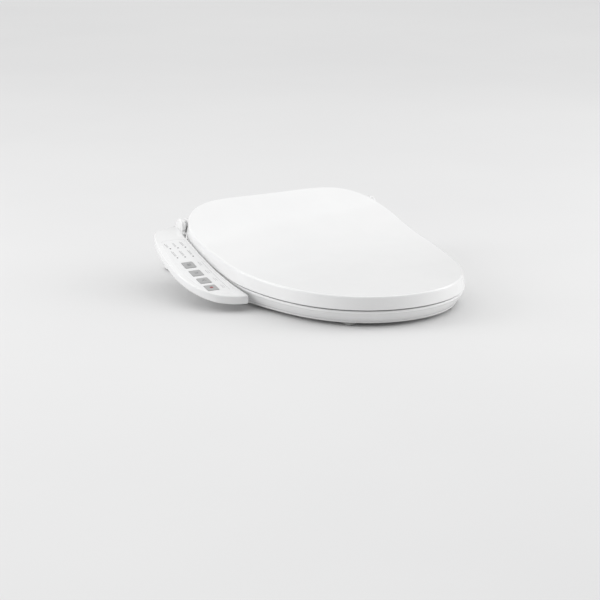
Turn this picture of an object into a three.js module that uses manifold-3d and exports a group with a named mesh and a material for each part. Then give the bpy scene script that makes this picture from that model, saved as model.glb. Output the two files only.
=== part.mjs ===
// Electric bidet seat: rear body with a control arm, heated seat ring and full-length lid.
// Millimetres, +Z up. The origin is the middle of the mounting plate's underside, which
// lies on the rim of the bowl; the seat reaches forward along -Y and the control arm is at -X.
import * as THREE from 'three';
import { mergeVertices } from 'three/addons/utils/BufferGeometryUtils.js';
import Module from 'manifold-3d';

const wasm = await Module();
wasm.setup();

// ---- driving dimensions (mm) -------------------------------------------------------------
// "v" is a distance measured back from the lid's front tip; Y = v - BOLT_V.
const BOLT_V = 470;            // lid tip to the bolt line of an elongated bowl
const LID_CENTRE_V = 253.84;   // pole of the lid's outline
const LID_OUTLINE = [217.74, -0.17, 26.4, 15.74, -9.26, 6.22, -2.18, -1.32, 1.15, -0.48]; // radius = sum c_k cos(k t), t from the front
const LID_TOP = [[0, 50.1], [67, 50.3], [134, 51.2], [167, 52.3], [201, 54.2], [234, 57.1], [268, 61.2], [301, 66.6], [335, 73.6], [368, 82.4], [402, 93.1], [435, 106.1], [455, 114.4], [470, 119.6]];
const LID_SKIRT = [[0, 20.6], [246, 21.8], [400, 21], [440, 19.5], [470, 17]];
const LID_CROWN = 2.4;
const LID_FLARE = 3.6;         // the skirt's lower edge stands out past the top edge
const LID_SKIN = 3.4;
const LID_SEAT_GAP = 1.5;
const HINGE_V = 432, HINGE_Z = 88;
const PIN_R = 4.5, BORE_R = 4.95;
const SEAT_BOTTOM = 6;         // the bumpers hold the ring this high over the rim
const SEAT_BACK_V = 396;
const SEAT_SKIN = 3.2;
const HOLE = { v: 212, a: 137, b: 108 }; // opening of the ring: middle, half length, half width
const BODY = { x: 186, v0: 402, v1: 515, wall: 3, split: 25.5, deck: 44, ridgeV: 430, ridgeZ: 74, ridgeX: 176 };
const TOWER = { x0: 182, x1: 188.5, v0: 425, v1: 453, r: 13 };
const HUB = [[4, 160], [5.8, 160], [5.8, 178.3], [8, 179.5], [10, 180.5], [12.5, 181.9], [12.5, 184], [4, 184]]; // white sleeve and dish round each hinge pin: radius, distance from the middle
const ARM_TOP = [[150, 15], [197, 25], [245, 35], [292, 46], [342, 61], [383, 74], [416, 81], [455, 87]];
const ARM_DEPTH = 13, ARM_SKIN = 2.4;
const ARM_PLAN = [[-184, 196], [-207, 200], [-230, 212], [-240, 224], [-248, 240], [-255, 262], [-259, 294], [-258.5, 333], [-254.5, 371], [-247.5, 400], [-240, 420], [-233, 432], [-222, 439], [-208, 443], [-195, 447], [-177.5, 450], [-177.5, 430], [-181.2, 422.5], [-184.6, 416.2], [-191, 413.6], [-193, 404], [-194.5, 383], [-195, 342], [-193.5, 292], [-190.5, 245]];
const BUTTON = { x: -229, w: 19.5, l: 18.5, v: [239, 264.5, 290.5, 316.5], travel: 0.9, gap: 0.4, proud: 0.7 };
const NOZZLE = { x: [-14, 2], r: 4.8, tipV: 408, tipZ: 17, len: 86, slope: 12, travel: 70 };
const TUNNEL = { x0: -34, x1: 68 };  // way under the back of the ring for nozzles and air
const PLATE = { x: 105, v0: 441, v1: 499, t: 3.5 };

// ---- helpers -----------------------------------------------------------------------------
const lerp = (table, v) => {
  if (v <= table[0][0]) return table[0][1];
  for (let i = 1; i < table.length; i++) {
    const [a, p] = table[i - 1], [b, q] = table[i];
    if (v <= b) return p + (q - p) * (v - a) / (b - a);
  }
  return table[table.length - 1][1];
};
const solid = (geo) => {
  let g = geo.clone();
  for (const a of ['normal', 'uv']) if (g.attributes[a]) g.deleteAttribute(a);
  g = mergeVertices(g, 1e-4);
  const tri = [];
  const ix = g.index.array;
  for (let i = 0; i < ix.length; i += 3) {
    const [a, b, c] = [ix[i], ix[i + 1], ix[i + 2]];
    if (a !== b && b !== c && c !== a) tri.push(a, b, c);
  }
  return new wasm.Manifold(new wasm.Mesh({
    numProp: 3,
    vertProperties: new Float32Array(g.attributes.position.array),
    triVerts: new Uint32Array(tri),
  }));
};
const geometryOf = (m) => {
  const mesh = m.getMesh();
  const g = new THREE.BufferGeometry();
  g.setAttribute('position', new THREE.BufferAttribute(new Float32Array(mesh.vertProperties), 3));
  g.setIndex(new THREE.BufferAttribute(new Uint32Array(mesh.triVerts), 1));
  g.computeVertexNormals();
  return g;
};
const join = (...list) => list.flat().reduce((a, b) => a.add(b));
const cut = (a, ...list) => list.flat().reduce((m, b) => m.subtract(b), a);
const shapeOf = (pts, holes = []) => {
  const s = new THREE.Shape(pts.map(([x, y]) => new THREE.Vector2(x, y)));
  for (const h of holes) s.holes.push(new THREE.Path(h.map(([x, y]) => new THREE.Vector2(x, y))));
  return s;
};
const place = (geo, m) => solid(geo.applyMatrix4(m));
const M = (cx, cy, cz, t = [0, 0, 0]) => new THREE.Matrix4().makeBasis(new THREE.Vector3(...cx), new THREE.Vector3(...cy), new THREE.Vector3(...cz)).setPosition(...t);
// upright plate of outline pts (x, v) from z0 to z1
const plate = (pts, z0, z1, holes = []) => place(new THREE.ExtrudeGeometry(shapeOf(pts, holes), { depth: z1 - z0, bevelEnabled: false }), M([1, 0, 0], [0, 1, 0], [0, 0, 1], [0, 0, z0]));
// prism of outline pts (v, z) from x0 to x1
const prismX = (pts, x0, x1) => place(new THREE.ExtrudeGeometry(shapeOf(pts), { depth: x1 - x0, bevelEnabled: false }), M([0, 1, 0], [0, 0, 1], [1, 0, 0], [x0, 0, 0]));
const box = (x0, x1, y0, y1, z0, z1) => place(new THREE.BoxGeometry(x1 - x0, y1 - y0, z1 - z0), M([1, 0, 0], [0, 1, 0], [0, 0, 1], [(x0 + x1) / 2, (y0 + y1) / 2, (z0 + z1) / 2]));
const rodX = (r, x0, x1, v, z, n = 16) => place(new THREE.CylinderGeometry(r, r, x1 - x0, n), M([0, 1, 0], [1, 0, 0], [0, 0, -1], [(x0 + x1) / 2, v, z]));
const rodY = (r, y0, y1, x, z, n = 16) => place(new THREE.CylinderGeometry(r, r, y1 - y0, n), M([1, 0, 0], [0, 1, 0], [0, 0, 1], [x, (y0 + y1) / 2, z]));
const rodZ = (r, z0, z1, x, v, n = 16) => place(new THREE.CylinderGeometry(r, r, z1 - z0, n), M([1, 0, 0], [0, 0, 1], [0, -1, 0], [x, v, (z0 + z1) / 2]));
const lathe = (pts, n, m) => place(new THREE.LatheGeometry(pts.map(([r, h]) => new THREE.Vector2(r, h)), n), m);
const circle = (x, y, r, n = 16) => Array.from({ length: n }, (_, i) => [x + r * Math.cos(2 * Math.PI * i / n), y + r * Math.sin(2 * Math.PI * i / n)]);
const roundRect = (x0, x1, y0, y1, r, n = 5) => {
  const out = [], rs = Array.isArray(r) ? r : [r, r, r, r];
  const cs = [[x0, y0, Math.PI, 0], [x1, y0, 1.5 * Math.PI, 1], [x1, y1, 0, 2], [x0, y1, 0.5 * Math.PI, 3]];
  for (const [cx, cy, a0, k] of cs) {
    const q = rs[k], sx = cx === x0 ? 1 : -1, sy = cy === y0 ? 1 : -1;
    for (let i = 0; i <= n; i++) {
      const a = a0 + 0.5 * Math.PI * i / n;
      out.push([cx + sx * q + q * Math.cos(a), cy + sy * q + q * Math.sin(a)]);
    }
  }
  return out;
};
// A ring or dish whose lathe profile is bent to follow an outline: at(i, n, j) gives each point.
const bentLathe = (count, n, closed, at) => {
  const profile = Array.from({ length: count }, (_, j) => new THREE.Vector2(j === 0 || j === count - 1 ? 0 : 1, j));
  if (closed) profile.forEach((p, j) => p.set(2 + Math.cos(2 * Math.PI * j / (count - 1)), Math.sin(2 * Math.PI * j / (count - 1))));
  const g = new THREE.LatheGeometry(profile, n);
  const pos = g.attributes.position;
  for (let i = 0; i <= n; i++) for (let j = 0; j < count; j++) {
    const [x, y, z] = at(i % n, n, closed ? j % (count - 1) : j);
    pos.setXYZ(i * count + j, x, y, z);
  }
  const s = solid(g);
  if (s.volume() >= 0) return s;
  const ix = g.index.array;
  for (let k = 0; k < ix.length; k += 3) [ix[k], ix[k + 1]] = [ix[k + 1], ix[k]];
  return solid(g);
};

const nodes = [];
const finish = (name, man, color, roughness, metalness) => {
  const mat = new THREE.MeshStandardMaterial({ color, roughness, metalness });
  const mesh = new THREE.Mesh(geometryOf(man), mat);
  mesh.name = name;
  nodes.push(mesh);
};
const WHITE = 0xf6f6f5, GREY = 0xbfc0c1;

// ---- outlines and heights ----------------------------------------------------------------
const lidRadius = (t) => LID_OUTLINE.reduce((s, c, k) => s + c * Math.cos(k * t), 0);
const lidPoint = (t, s, d) => { // s: share of the radius, d: distance out from the outline
  const e = 1e-3;
  const P = (u) => { const r = lidRadius(u); return [r * Math.sin(u), LID_CENTRE_V - r * Math.cos(u)]; };
  const [x, v] = P(t), [xa, va] = P(t - e), [xb, vb] = P(t + e);
  let tx = xb - xa, tv = vb - va; const l = Math.hypot(tx, tv); tx /= l; tv /= l;
  const nx = tv, nv = -tx;
  const sign = nx * x + nv * (v - LID_CENTRE_V) > 0 ? 1 : -1;
  const k = Math.abs(s - 1) < 1e-9 ? 1 : 0;
  return [x * s + k * sign * nx * d, LID_CENTRE_V + (v - LID_CENTRE_V) * s + k * sign * nv * d];
};
const lidTop = (v) => lerp(LID_TOP, v);
const lidEdge = (v) => lidTop(v) - lerp(LID_SKIRT, v);      // lower edge of the skirt
const seatTop = (v) => lidEdge(v) - LID_SEAT_GAP;

// ---- lid ---------------------------------------------------------------------------------
{
  const N = 64;
  const rows = [
    (t) => { const v = LID_CENTRE_V; return [0, v, lidTop(v) + LID_CROWN]; },
    ...[0.3, 0.55, 0.75, 0.9].map((s) => (t) => { const [x, v] = lidPoint(t, s, 0); return [x, v, lidTop(v) + LID_CROWN * (1 - s * s)]; }),
    (t) => { const [x, v] = lidPoint(t, 1, -3); return [x, v, lidTop(v)]; },
    (t) => { const [x, v] = lidPoint(t, 1, 0); return [x, v, lidTop(v) - 2.4]; },
    (t) => { const [x, v] = lidPoint(t, 1, LID_FLARE); return [x, v, lidEdge(v)]; },
    (t) => { const [x, v] = lidPoint(t, 1, LID_FLARE - 3); return [x, v, lidEdge(v)]; },
    (t) => { const [x, v] = lidPoint(t, 1, -3.4); return [x, v, lidTop(v) - LID_SKIN - 2]; },
    ...[0.9, 0.75, 0.55, 0.3].map((s) => (t) => { const [x, v] = lidPoint(t, s, 0); return [x, v, lidTop(v) + LID_CROWN * (1 - s * s) - LID_SKIN]; }),
    (t) => { const v = LID_CENTRE_V; return [0, v, lidTop(v) + LID_CROWN - LID_SKIN]; },
  ];
  let lid = bentLathe(rows.length, N, false, (i, n, j) => rows[j](2 * Math.PI * i / n));
  const ear = (x0, x1) => join(rodX(8, x0, x1, HINGE_V, HINGE_Z, 20), prismX([[HINGE_V - 7, HINGE_Z], [HINGE_V + 7, HINGE_Z], [HINGE_V + 7, 104.5], [HINGE_V - 7, 100]], x0, x1));
  lid = join(lid, ear(-158, -150), ear(150, 158));
  const cheek = (k) => lathe([[5, 163], [11, 163], [12, 165], [12, 175.4], [10.8, 176.6], [5, 176.6], [5, 163]], 24, M([0, 1, 0], [k, 0, 0], [0, 0, -k], [0, HINGE_V, HINGE_Z]));
  lid = join(lid, cheek(-1), cheek(1)); // round cheeks that close the recess beside the hinge sleeves
  lid = cut(lid, rodX(BORE_R, -195, -145, HINGE_V, HINGE_Z), rodX(BORE_R, 145, 195, HINGE_V, HINGE_Z),
    rodX(6.2, -195, -159, HINGE_V, HINGE_Z), rodX(6.2, 159, 195, HINGE_V, HINGE_Z));
  finish('lid', lid, WHITE, 0.16, 0);
  for (const [name, x] of [['lid_bumper_left', -118], ['lid_bumper_right', 118]]) {
    const v = 120, zt = lidTop(v) + LID_CROWN * (1 - 0.6) - LID_SKIN - 0.8;
    finish(name, rodZ(6, seatTop(v) + 2.1, zt, x, v, 12), 0xd8d8d6, 0.7, 0);
  }
}

// ---- seat ring ---------------------------------------------------------------------------
const seatOuter = (t, d) => { // outline of the ring about the opening's middle
  // radius where a ray from (0, HOLE.v) meets the lid outline moved out by d, flattened at the back
  const dx = Math.sin(t), dv = -Math.cos(t);
  let best = 0, last = null;
  const M2 = 360;
  for (let i = 0; i <= M2; i++) {
    const p = lidPoint(2 * Math.PI * i / M2, 1, d);
    const q = [p[0], p[1] - HOLE.v];
    if (last) {
      const ex = q[0] - last[0], ev = q[1] - last[1];
      const den = dx * ev - dv * ex;
      if (Math.abs(den) > 1e-9) {
        const r = (last[0] * ev - last[1] * ex) / den;
        const w = (last[0] * dv - last[1] * dx) / den;
        if (r > 0 && w >= -1e-9 && w <= 1 + 1e-9) best = Math.max(best, r);
      }
    }
    last = q;
  }
  if (dv > 0.01) {
    const r2 = (SEAT_BACK_V + d - HOLE.v) / dv, p = 24;
    best = Math.pow(Math.pow(best, -p) + Math.pow(r2, -p), -1 / p);
  }
  return best;
};
const holeRadius = (t, d = 0) => {
  const a = HOLE.a + d, b = HOLE.b + d, p = 2.25;
  return Math.pow(Math.pow(Math.abs(Math.cos(t)) / a, p) + Math.pow(Math.abs(Math.sin(t)) / b, p), -1 / p);
};
const seatAt = (t, r) => [r * Math.sin(t), HOLE.v - r * Math.cos(t)];
{
  const N = 60;
  const top = (v) => seatTop(v);
  const innerTop = (v) => 23.5 + 7 * Math.max(0, Math.min(1, (v - 250) / 100));
  const mix = (a, b, k) => a + (b - a) * k;
  const surf = (t, k, dz) => { // k = 0 at the outer shoulder, 1 at the opening
    const ro = seatOuter(t, -3), ri = holeRadius(t, 5);
    const r = mix(ro, ri, k), [x, v] = seatAt(t, r);
    const [, vo] = seatAt(t, ro), [, vi] = seatAt(t, ri);
    const e = k * k * (3 - 2 * k);
    return [x, v, mix(top(vo), innerTop(vi), e) + dz];
  };
  const wall = (t, d, z) => { const [x, v] = seatAt(t, seatOuter(t, d)); return [x, v, typeof z === 'function' ? z(v) : z]; };
  const hole = (t, d, z) => { const [x, v] = seatAt(t, holeRadius(t, d)); return [x, v, typeof z === 'function' ? z(v) : z]; };
  const rows = [
    (t) => wall(t, -8.2, 9.3), (t) => wall(t, -3, 16), (t) => wall(t, 1.6, (v) => top(v) - 4), (t) => surf(t, 0, 0),
    (t) => surf(t, 0.4, 0), (t) => surf(t, 0.8, 0), (t) => surf(t, 1, -0.4), (t) => hole(t, 0, (v) => innerTop(v) - 5), (t) => hole(t, 1, 9.3),
    (t) => hole(t, 1 + SEAT_SKIN, 9.3), (t) => hole(t, 6, (v) => innerTop(v) - 5), (t) => surf(t, 0.8, -SEAT_SKIN), (t) => surf(t, 0.4, -SEAT_SKIN),
    (t) => surf(t, 0.1, -SEAT_SKIN - 0.6), (t) => wall(t, -5, (v) => top(v) - 8), (t) => wall(t, -11.2, 9.3),
  ];
  let ring = bentLathe(rows.length + 1, N, true, (i, n, j) => rows[j](2 * Math.PI * i / n));
  const arm = (x0, x1) => join(rodX(9, x0, x1, HINGE_V, HINGE_Z, 20),
    prismX([[386, 52], [395.5, 52], [400, 77.5], [HINGE_V, 79.2], [HINGE_V, 96.8], [421, 93.5], [408, 86.5], [394, 80], [386, 70]], x0, x1));
  ring = join(ring, arm(-148, -138), arm(138, 148), prismX([[347, 9.7], [391.6, 9.7], [391.6, 41.7], [370.7, 41.7], [347, 27.4]], TUNNEL.x0 - 3, TUNNEL.x1 + 3));
  ring = cut(ring, prismX([[320, 0], [410, 0], [410, 39], [372, 39], [346, 24.5], [320, 24.5]], TUNNEL.x0, TUNNEL.x1), rodX(BORE_R, -150, -136, HINGE_V, HINGE_Z), rodX(BORE_R, 136, 150, HINGE_V, HINGE_Z));
  finish('seat_upper_shell', ring, WHITE, 0.2, 0);

  const outline = (d, f) => Array.from({ length: N }, (_, i) => { const t = 2 * Math.PI * i / N; return seatAt(t, f(t, d)); });
  let pan = plate(outline(-9.7, seatOuter), SEAT_BOTTOM, 9, [outline(0.8, holeRadius).reverse()]);
  pan = cut(pan, box(TUNNEL.x0 - 3.4, TUNNEL.x1 + 3.4, 320, 410, 0, 20));
  finish('seat_lower_pan', pan, WHITE, 0.35, 0);

  const foil = [(t) => surf(t, 0.8, -SEAT_SKIN - 0.4), (t) => surf(t, 0.4, -SEAT_SKIN - 0.4), (t) => surf(t, 0.4, -SEAT_SKIN - 1), (t) => surf(t, 0.8, -SEAT_SKIN - 1)];
  let heater = bentLathe(foil.length + 1, N, true, (i, n, j) => foil[j](2 * Math.PI * i / n));
  heater = cut(heater, box(TUNNEL.x0 - 6, TUNNEL.x1 + 6, 330, 410, 0, 90));
  finish('seat_heater_foil', heater, 0xc9a36a, 0.35, 0.6);

  for (const [name, x, v] of [['seat_bumper_front_left', -88, 62], ['seat_bumper_front_right', 88, 62], ['seat_bumper_rear_left', -140, 320], ['seat_bumper_rear_right', 140, 320]])
    finish(name, plate(roundRect(x - 9, x + 9, v - 16, v + 16, 8, 3), 0, SEAT_BOTTOM - 0.3), 0xe2e2e0, 0.75, 0);
}

// ---- rear body: lower housing ------------------------------------------------------------
const bodyPlan = (d) => roundRect(-BODY.x + d, BODY.x - d, BODY.v0 + d, BODY.v1 - d, [10, 10, 24, 24].map((r) => Math.max(r - d, 2)), 5);
const nozzlePort = box(-25, 13, 395, 408, 6, 38);
const dryerPort = box(42, 62, 395, 408, 12, 28);
{
  let tray = plate(bodyPlan(0), 2, BODY.split);
  tray = cut(tray, plate(bodyPlan(BODY.wall), 5, 40));
  tray = join(tray, box(-PLATE.x - 4, PLATE.x + 4, PLATE.v0 - 5, BODY.v1 - 1, 2, 10));
  tray = cut(tray, box(-PLATE.x - 1, PLATE.x + 1, PLATE.v0 - 1.5, BODY.v1 + 2, 0, 7.2), nozzlePort, dryerPort,
    rodY(8.1, 505, 520, -140, 18, 16), rodY(5.2, 505, 520, 150, 16, 16), box(180, 190, 454, 476, 9, 19));
  const boss = (x, v) => rodZ(5, 4, BODY.split, x, v, 12);
  tray = join(tray, boss(-172, 418), boss(172, 418), boss(-172, 462), boss(168, 494));
  tray = cut(tray, [[-172, 418], [172, 418], [-172, 462], [168, 494]].map(([x, v]) => rodZ(2.4, 0, 40, x, v, 10)));
  finish('body_lower_housing', tray, WHITE, 0.35, 0);
  for (const [k, [x, v]] of [[-172, 418], [172, 418], [-172, 462], [168, 494]].entries())
    finish(`housing_screw_${k + 1}`, join(rodZ(1.9, 1.9, 38, x, v, 8), rodZ(4, 0.4, 1.7, x, v, 12), rodZ(1.9, 1, 3, x, v, 8)), 0x9a9c9e, 0.35, 0.9);
  for (const [name, x, v] of [['body_foot_left', -150, 455], ['body_foot_right', 150, 455]])
    finish(name, plate(roundRect(x - 12, x + 12, v - 22, v + 22, 8, 3), 0, 1.7), 0x8f9092, 0.8, 0);
}

// ---- rear body: upper cover with hinge towers and the arm's upper shell --------------------
const armBand = (d0, d1, x0 = -270, x1 = -170) => prismX([...ARM_TOP.map(([v, z]) => [v, z - d0]), ...ARM_TOP.map(([v, z]) => [v, z - d1]).reverse()], x0, x1);
const insetPlan = (pts, d) => { // moves a counter-clockwise or clockwise outline inwards
  const area = pts.reduce((s, p, i) => { const q = pts[(i + 1) % pts.length]; return s + p[0] * q[1] - q[0] * p[1]; }, 0);
  const sg = area > 0 ? 1 : -1;
  return pts.map((p, i) => {
    const a = pts[(i + pts.length - 1) % pts.length], b = pts[(i + 1) % pts.length];
    const u = [p[0] - a[0], p[1] - a[1]], w = [b[0] - p[0], b[1] - p[1]];
    const lu = Math.hypot(...u), lw = Math.hypot(...w);
    const n1 = [-u[1] / lu * sg, u[0] / lu * sg], n2 = [-w[1] / lw * sg, w[0] / lw * sg];
    const k = 1 + n1[0] * n2[0] + n1[1] * n2[1];
    return [p[0] + d * (n1[0] + n2[0]) / Math.max(k, 0.5), p[1] + d * (n1[1] + n2[1]) / Math.max(k, 0.5)];
  });
};
const slopeAt = (v) => (lerp(ARM_TOP, v + 12) - lerp(ARM_TOP, v - 12)) / 24;
// frame of a piece lying on the arm's top at (x, v): local x across, local y up the slope, local z out
const onArm = (x, v, lift = 0) => {
  const a = Math.atan(slopeAt(v));
  return new THREE.Matrix4().makeBasis(new THREE.Vector3(1, 0, 0), new THREE.Vector3(0, Math.cos(a), Math.sin(a)), new THREE.Vector3(0, -Math.sin(a), Math.cos(a)))
    .setPosition(x, v - lift * Math.sin(a), lerp(ARM_TOP, v) + lift * Math.cos(a));
};
const localPrism = (pts, z0, z1, m) => { const g = new THREE.ExtrudeGeometry(shapeOf(pts), { depth: z1 - z0, bevelEnabled: false }); g.translate(0, 0, z0); return solid(g.applyMatrix4(m)); };
const FILM_PLAN = [[-197, 211], [-226, 221], [-238, 236], [-245.5, 256], [-249.5, 290], [-249, 330], [-245.5, 366], [-240, 394], [-200.5, 394], [-200.5, 342], [-199, 292], [-196.5, 245]];
const LAMPS = [[-237, 341], [-223.5, 340.5], [-209.5, 340], [-236, 368.5], [-222.5, 368], [-209.5, 367.5]];
{
  const slabs = [];
  slabs.push(plate(bodyPlan(0), BODY.split + 0.3, BODY.deck));
  slabs.push(prismX([[BODY.v0, BODY.split + 0.3], [BODY.ridgeV, BODY.split + 0.3], [BODY.ridgeV, BODY.ridgeZ], [BODY.v0 + 3, BODY.ridgeZ], [BODY.v0, BODY.ridgeZ - 3]], -BODY.ridgeX, BODY.ridgeX));
  for (const s of [-1, 1]) {
    const [a, b] = s < 0 ? [-TOWER.x1, -TOWER.x0] : [TOWER.x0, TOWER.x1];
    slabs.push(prismX([[TOWER.v0, BODY.split + 0.3], [TOWER.v1, BODY.split + 0.3], [TOWER.v1, 79], [HINGE_V + 11.5, HINGE_Z + 5.5], [HINGE_V - 11.5, HINGE_Z + 5.5], [TOWER.v0 - 3.5, 79], [TOWER.v0, 74]], a, b));
    slabs.push(lathe([...HUB, HUB[0]], 24, M([0, 1, 0], [s, 0, 0], [0, 0, -s], [0, HINGE_V, HINGE_Z])));
    slabs.push(rodX(TOWER.r, a, b, HINGE_V, HINGE_Z, 24));
    const [c, d] = s < 0 ? [-135, -100] : [100, 135];
    slabs.push(rodX(10, c, d, HINGE_V, HINGE_Z, 20));
    slabs.push(prismX([[416, 70], [430, 70], [431, 88], [423, 90]], c, d));
  }
  slabs.push(armBand(0, ARM_DEPTH).intersect(plate(ARM_PLAN, 0, 140)));
  let cover = join(slabs);
  const inner = insetPlan(ARM_PLAN, ARM_SKIN);
  cover = cut(cover,
    plate(bodyPlan(BODY.wall), 0, BODY.deck - BODY.wall),
    prismX([[BODY.v0 + 3, 0], [BODY.ridgeV - 3, 0], [BODY.ridgeV - 3, BODY.ridgeZ - 3], [BODY.v0 + 3, BODY.ridgeZ - 3]], -170, 170),
    armBand(ARM_SKIN, ARM_DEPTH + 6, -266, -189).intersect(plate(inner, -10, 140)),
    rodX(BORE_R, -186, -90, HINGE_V, HINGE_Z), rodX(BORE_R, 90, 186, HINGE_V, HINGE_Z),
    rodX(8.4, -131, -90, HINGE_V, HINGE_Z, 20), rodX(8.4, 90, 131, HINGE_V, HINGE_Z, 20),
    nozzlePort, dryerPort);
  // guard hinge bosses
  cover = join(cover, box(-30, -25.2, BODY.v0 + 1, 411, 31, BODY.deck - 1), box(13.2, 18, BODY.v0 + 1, 411, 31, BODY.deck - 1));
  cover = cut(cover, rodX(1.85, -28.2, 16.2, 405, 35, 10));
  const bossUp = (x, v, z) => rodZ(5, BODY.split + 0.3, z, x, v, 12);
  cover = join(cover, bossUp(-172, 418, 50), bossUp(172, 418, 50), bossUp(-172, 462, 42), bossUp(168, 494, 42));
  cover = cut(cover, [[-172, 418], [172, 418], [-172, 462], [168, 494]].map(([x, v]) => rodZ(2.4, 0, 40, x, v, 10)));
  // film recess, button windows and lamp holes in the arm
  cover = cut(cover, armBand(-5, 0.9).intersect(plate(FILM_PLAN, 0, 140)),
    BUTTON.v.map((v) => localPrism(roundRect(-BUTTON.w / 2 - BUTTON.gap, BUTTON.w / 2 + BUTTON.gap, -BUTTON.l / 2 - BUTTON.gap, BUTTON.l / 2 + BUTTON.gap, 2, 2), -8, 4, onArm(BUTTON.x, v))),
    LAMPS.map(([x, v]) => localPrism(circle(0, 0, 1.7, 8), -8, 4, onArm(x, v))));
  finish('body_upper_cover', cover, WHITE, 0.2, 0);

  // overlay film
  let film = armBand(0.1, 0.6).intersect(plate(insetPlan(FILM_PLAN, 0.35), 0, 140));
  film = cut(film, BUTTON.v.map((v) => localPrism(roundRect(-BUTTON.w / 2 - BUTTON.gap, BUTTON.w / 2 + BUTTON.gap, -BUTTON.l / 2 - BUTTON.gap, BUTTON.l / 2 + BUTTON.gap, 2, 2), -8, 4, onArm(BUTTON.x, v))),
    LAMPS.map(([x, v]) => localPrism(circle(0, 0, 1.7, 8), -8, 4, onArm(x, v))));
  finish('control_overlay_film', film, 0xf2f2f0, 0.3, 0);

  // arm lower cover
  const lower = armBand(ARM_DEPTH - 2, ARM_DEPTH, -266, -189).intersect(plate(insetPlan(ARM_PLAN, ARM_SKIN + 0.35), -10, 140));
  finish('arm_lower_cover', lower, WHITE, 0.35, 0);

  // control circuit board with a tactile switch under every button
  let pcb = armBand(8.2, 9.4, -246, -203).intersect(plate([[-203, 230], [-230, 230], [-240, 248], [-246, 272], [-246, 392], [-203, 392]], 0, 140));
  pcb = join(pcb, BUTTON.v.map((v) => localPrism(roundRect(-3, 3, -3, 3, 0.8, 1), -8.8, -5.6, onArm(BUTTON.x, v))));
  finish('control_board', pcb, 0x2f6b45, 0.5, 0.1);

  // light guide: a bar with six pegs that end flush in the film
  let guide = armBand(5.2, 6.8, -240.5, -206).intersect(plate(roundRect(-240.5, -206, 335.5, 373, 2, 1), 0, 140));
  guide = join(guide, LAMPS.map(([x, v]) => localPrism(circle(0, 0, 1.3, 8), -6.2, -0.3, onArm(x, v))));
  finish('indicator_light_guide', guide, 0xd9dde0, 0.15, 0);

  // push buttons
  for (const [k, v] of BUTTON.v.entries()) {
    const m = onArm(BUTTON.x, v);
    const cap = join(localPrism(roundRect(-BUTTON.w / 2, BUTTON.w / 2, -BUTTON.l / 2, BUTTON.l / 2, 1.6, 3), -2.9, BUTTON.proud, m),
      localPrism(circle(0, 0, 2.2, 10), -4.4, -2, m));
    finish(`button_${k + 1}`, cap, GREY, 0.45, 0);
  }
}

// ---- hinge pins with soft-close dampers ----------------------------------------------------
for (const [name, s] of [['hinge_damper_left', -1], ['hinge_damper_right', 1]]) {
  const m = M([0, 1, 0], [s, 0, 0], [0, 0, -s], [0, HINGE_V, HINGE_Z]);
  finish(name, lathe([[0, 98], [8, 98], [8, 130.6], [PIN_R, 130.6], [PIN_R, 185.4], [0, 185.4]], 18, m), 0x6d7073, 0.4, 0.2);
}

// ---- mounting plate, adjusters, quick release ---------------------------------------------
{
  const slot = (x0, x1) => roundRect(x0, x1, BOLT_V - 7, BOLT_V + 7, 6.9, 5).reverse();
  finish('mounting_plate', plate(roundRect(-PLATE.x, PLATE.x, PLATE.v0, PLATE.v1, 6, 3), 0, PLATE.t, [slot(-92, -55), slot(55, 92)]), 0xd5d6d7, 0.5, 0);
  for (const [name, x] of [['mounting_adjuster_left', -70], ['mounting_adjuster_right', 70]])
    finish(name, plate(circle(x, BOLT_V, 15, 20), PLATE.t + 0.3, PLATE.t + 3, [circle(x, BOLT_V, 4.2, 12).reverse()]), 0x55585b, 0.6, 0);
  finish('quick_release_button', join(box(172, 189, 455, 475, 10, 18), box(168, 172.2, 458, 472, 10.5, 17.5)), GREY, 0.4, 0);
}

// ---- nozzles, cradle and guard ---------------------------------------------------------------
const slope = THREE.MathUtils.degToRad(NOZZLE.slope);
const nozzleFrame = (x) => M([1, 0, 0], [0, Math.cos(slope), Math.sin(slope)], [0, -Math.sin(slope), Math.cos(slope)], [x, NOZZLE.tipV, NOZZLE.tipZ]);
{
  const names = ['nozzle_rear_wash', 'nozzle_front_wash'];
  NOZZLE.x.forEach((x, k) => {
    const body = lathe([[0, 0], [3.4, 0], [NOZZLE.r, 2], [NOZZLE.r, NOZZLE.len], [0, NOZZLE.len]], 14, nozzleFrame(x));
    const jet = lathe([[0, 0], [1.5, 0], [1.5, 3], [0, 3]], 10, nozzleFrame(x).multiply(M([1, 0, 0], [0, 0, 1], [0, -1, 0], [0, 8, NOZZLE.r - 1.2])));
    finish(names[k], cut(body, jet), 0xe9e9e7, 0.3, 0);
  });
  const local = nozzleFrame(0);
  const lbox = (x0, x1, y0, y1, z0, z1) => { const g = new THREE.BoxGeometry(x1 - x0, y1 - y0, z1 - z0); g.translate((x0 + x1) / 2, (y0 + y1) / 2, (z0 + z1) / 2); return solid(g.applyMatrix4(local)); };
  let cradle = join(lbox(-24, 12, 4.5, 92, -8.4, -6.2), lbox(-24, 12, 4.5, 8, -7, 7), lbox(-24, 12, 17, 20.5, -7, 7), lbox(-23.8, 11.8, 88.4, 91.7, -7, 3.5));
  cradle = cut(cradle, NOZZLE.x.map((x) => lathe([[0, 0], [5.15, 0], [5.15, 60], [0, 60]], 14, nozzleFrame(x))), box(-40, 40, 430, 520, 0, 10.4));
  finish('nozzle_cradle', cradle, 0xb9bcbe, 0.4, 0);

  const gz = NOZZLE.tipZ - (NOZZLE.tipV - 404.3) * Math.tan(slope);
  let guard = join(box(-24.4, 12.4, 403.4, 405.2, 7, 35), rodX(1.45, -27.8, 15.8, 405, 35, 10));
  guard = cut(guard, NOZZLE.x.map((x) => rodY(6.4, 398, 410, x, gz, 16)));
  finish('nozzle_guard', guard, WHITE, 0.25, 0);
}

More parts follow.
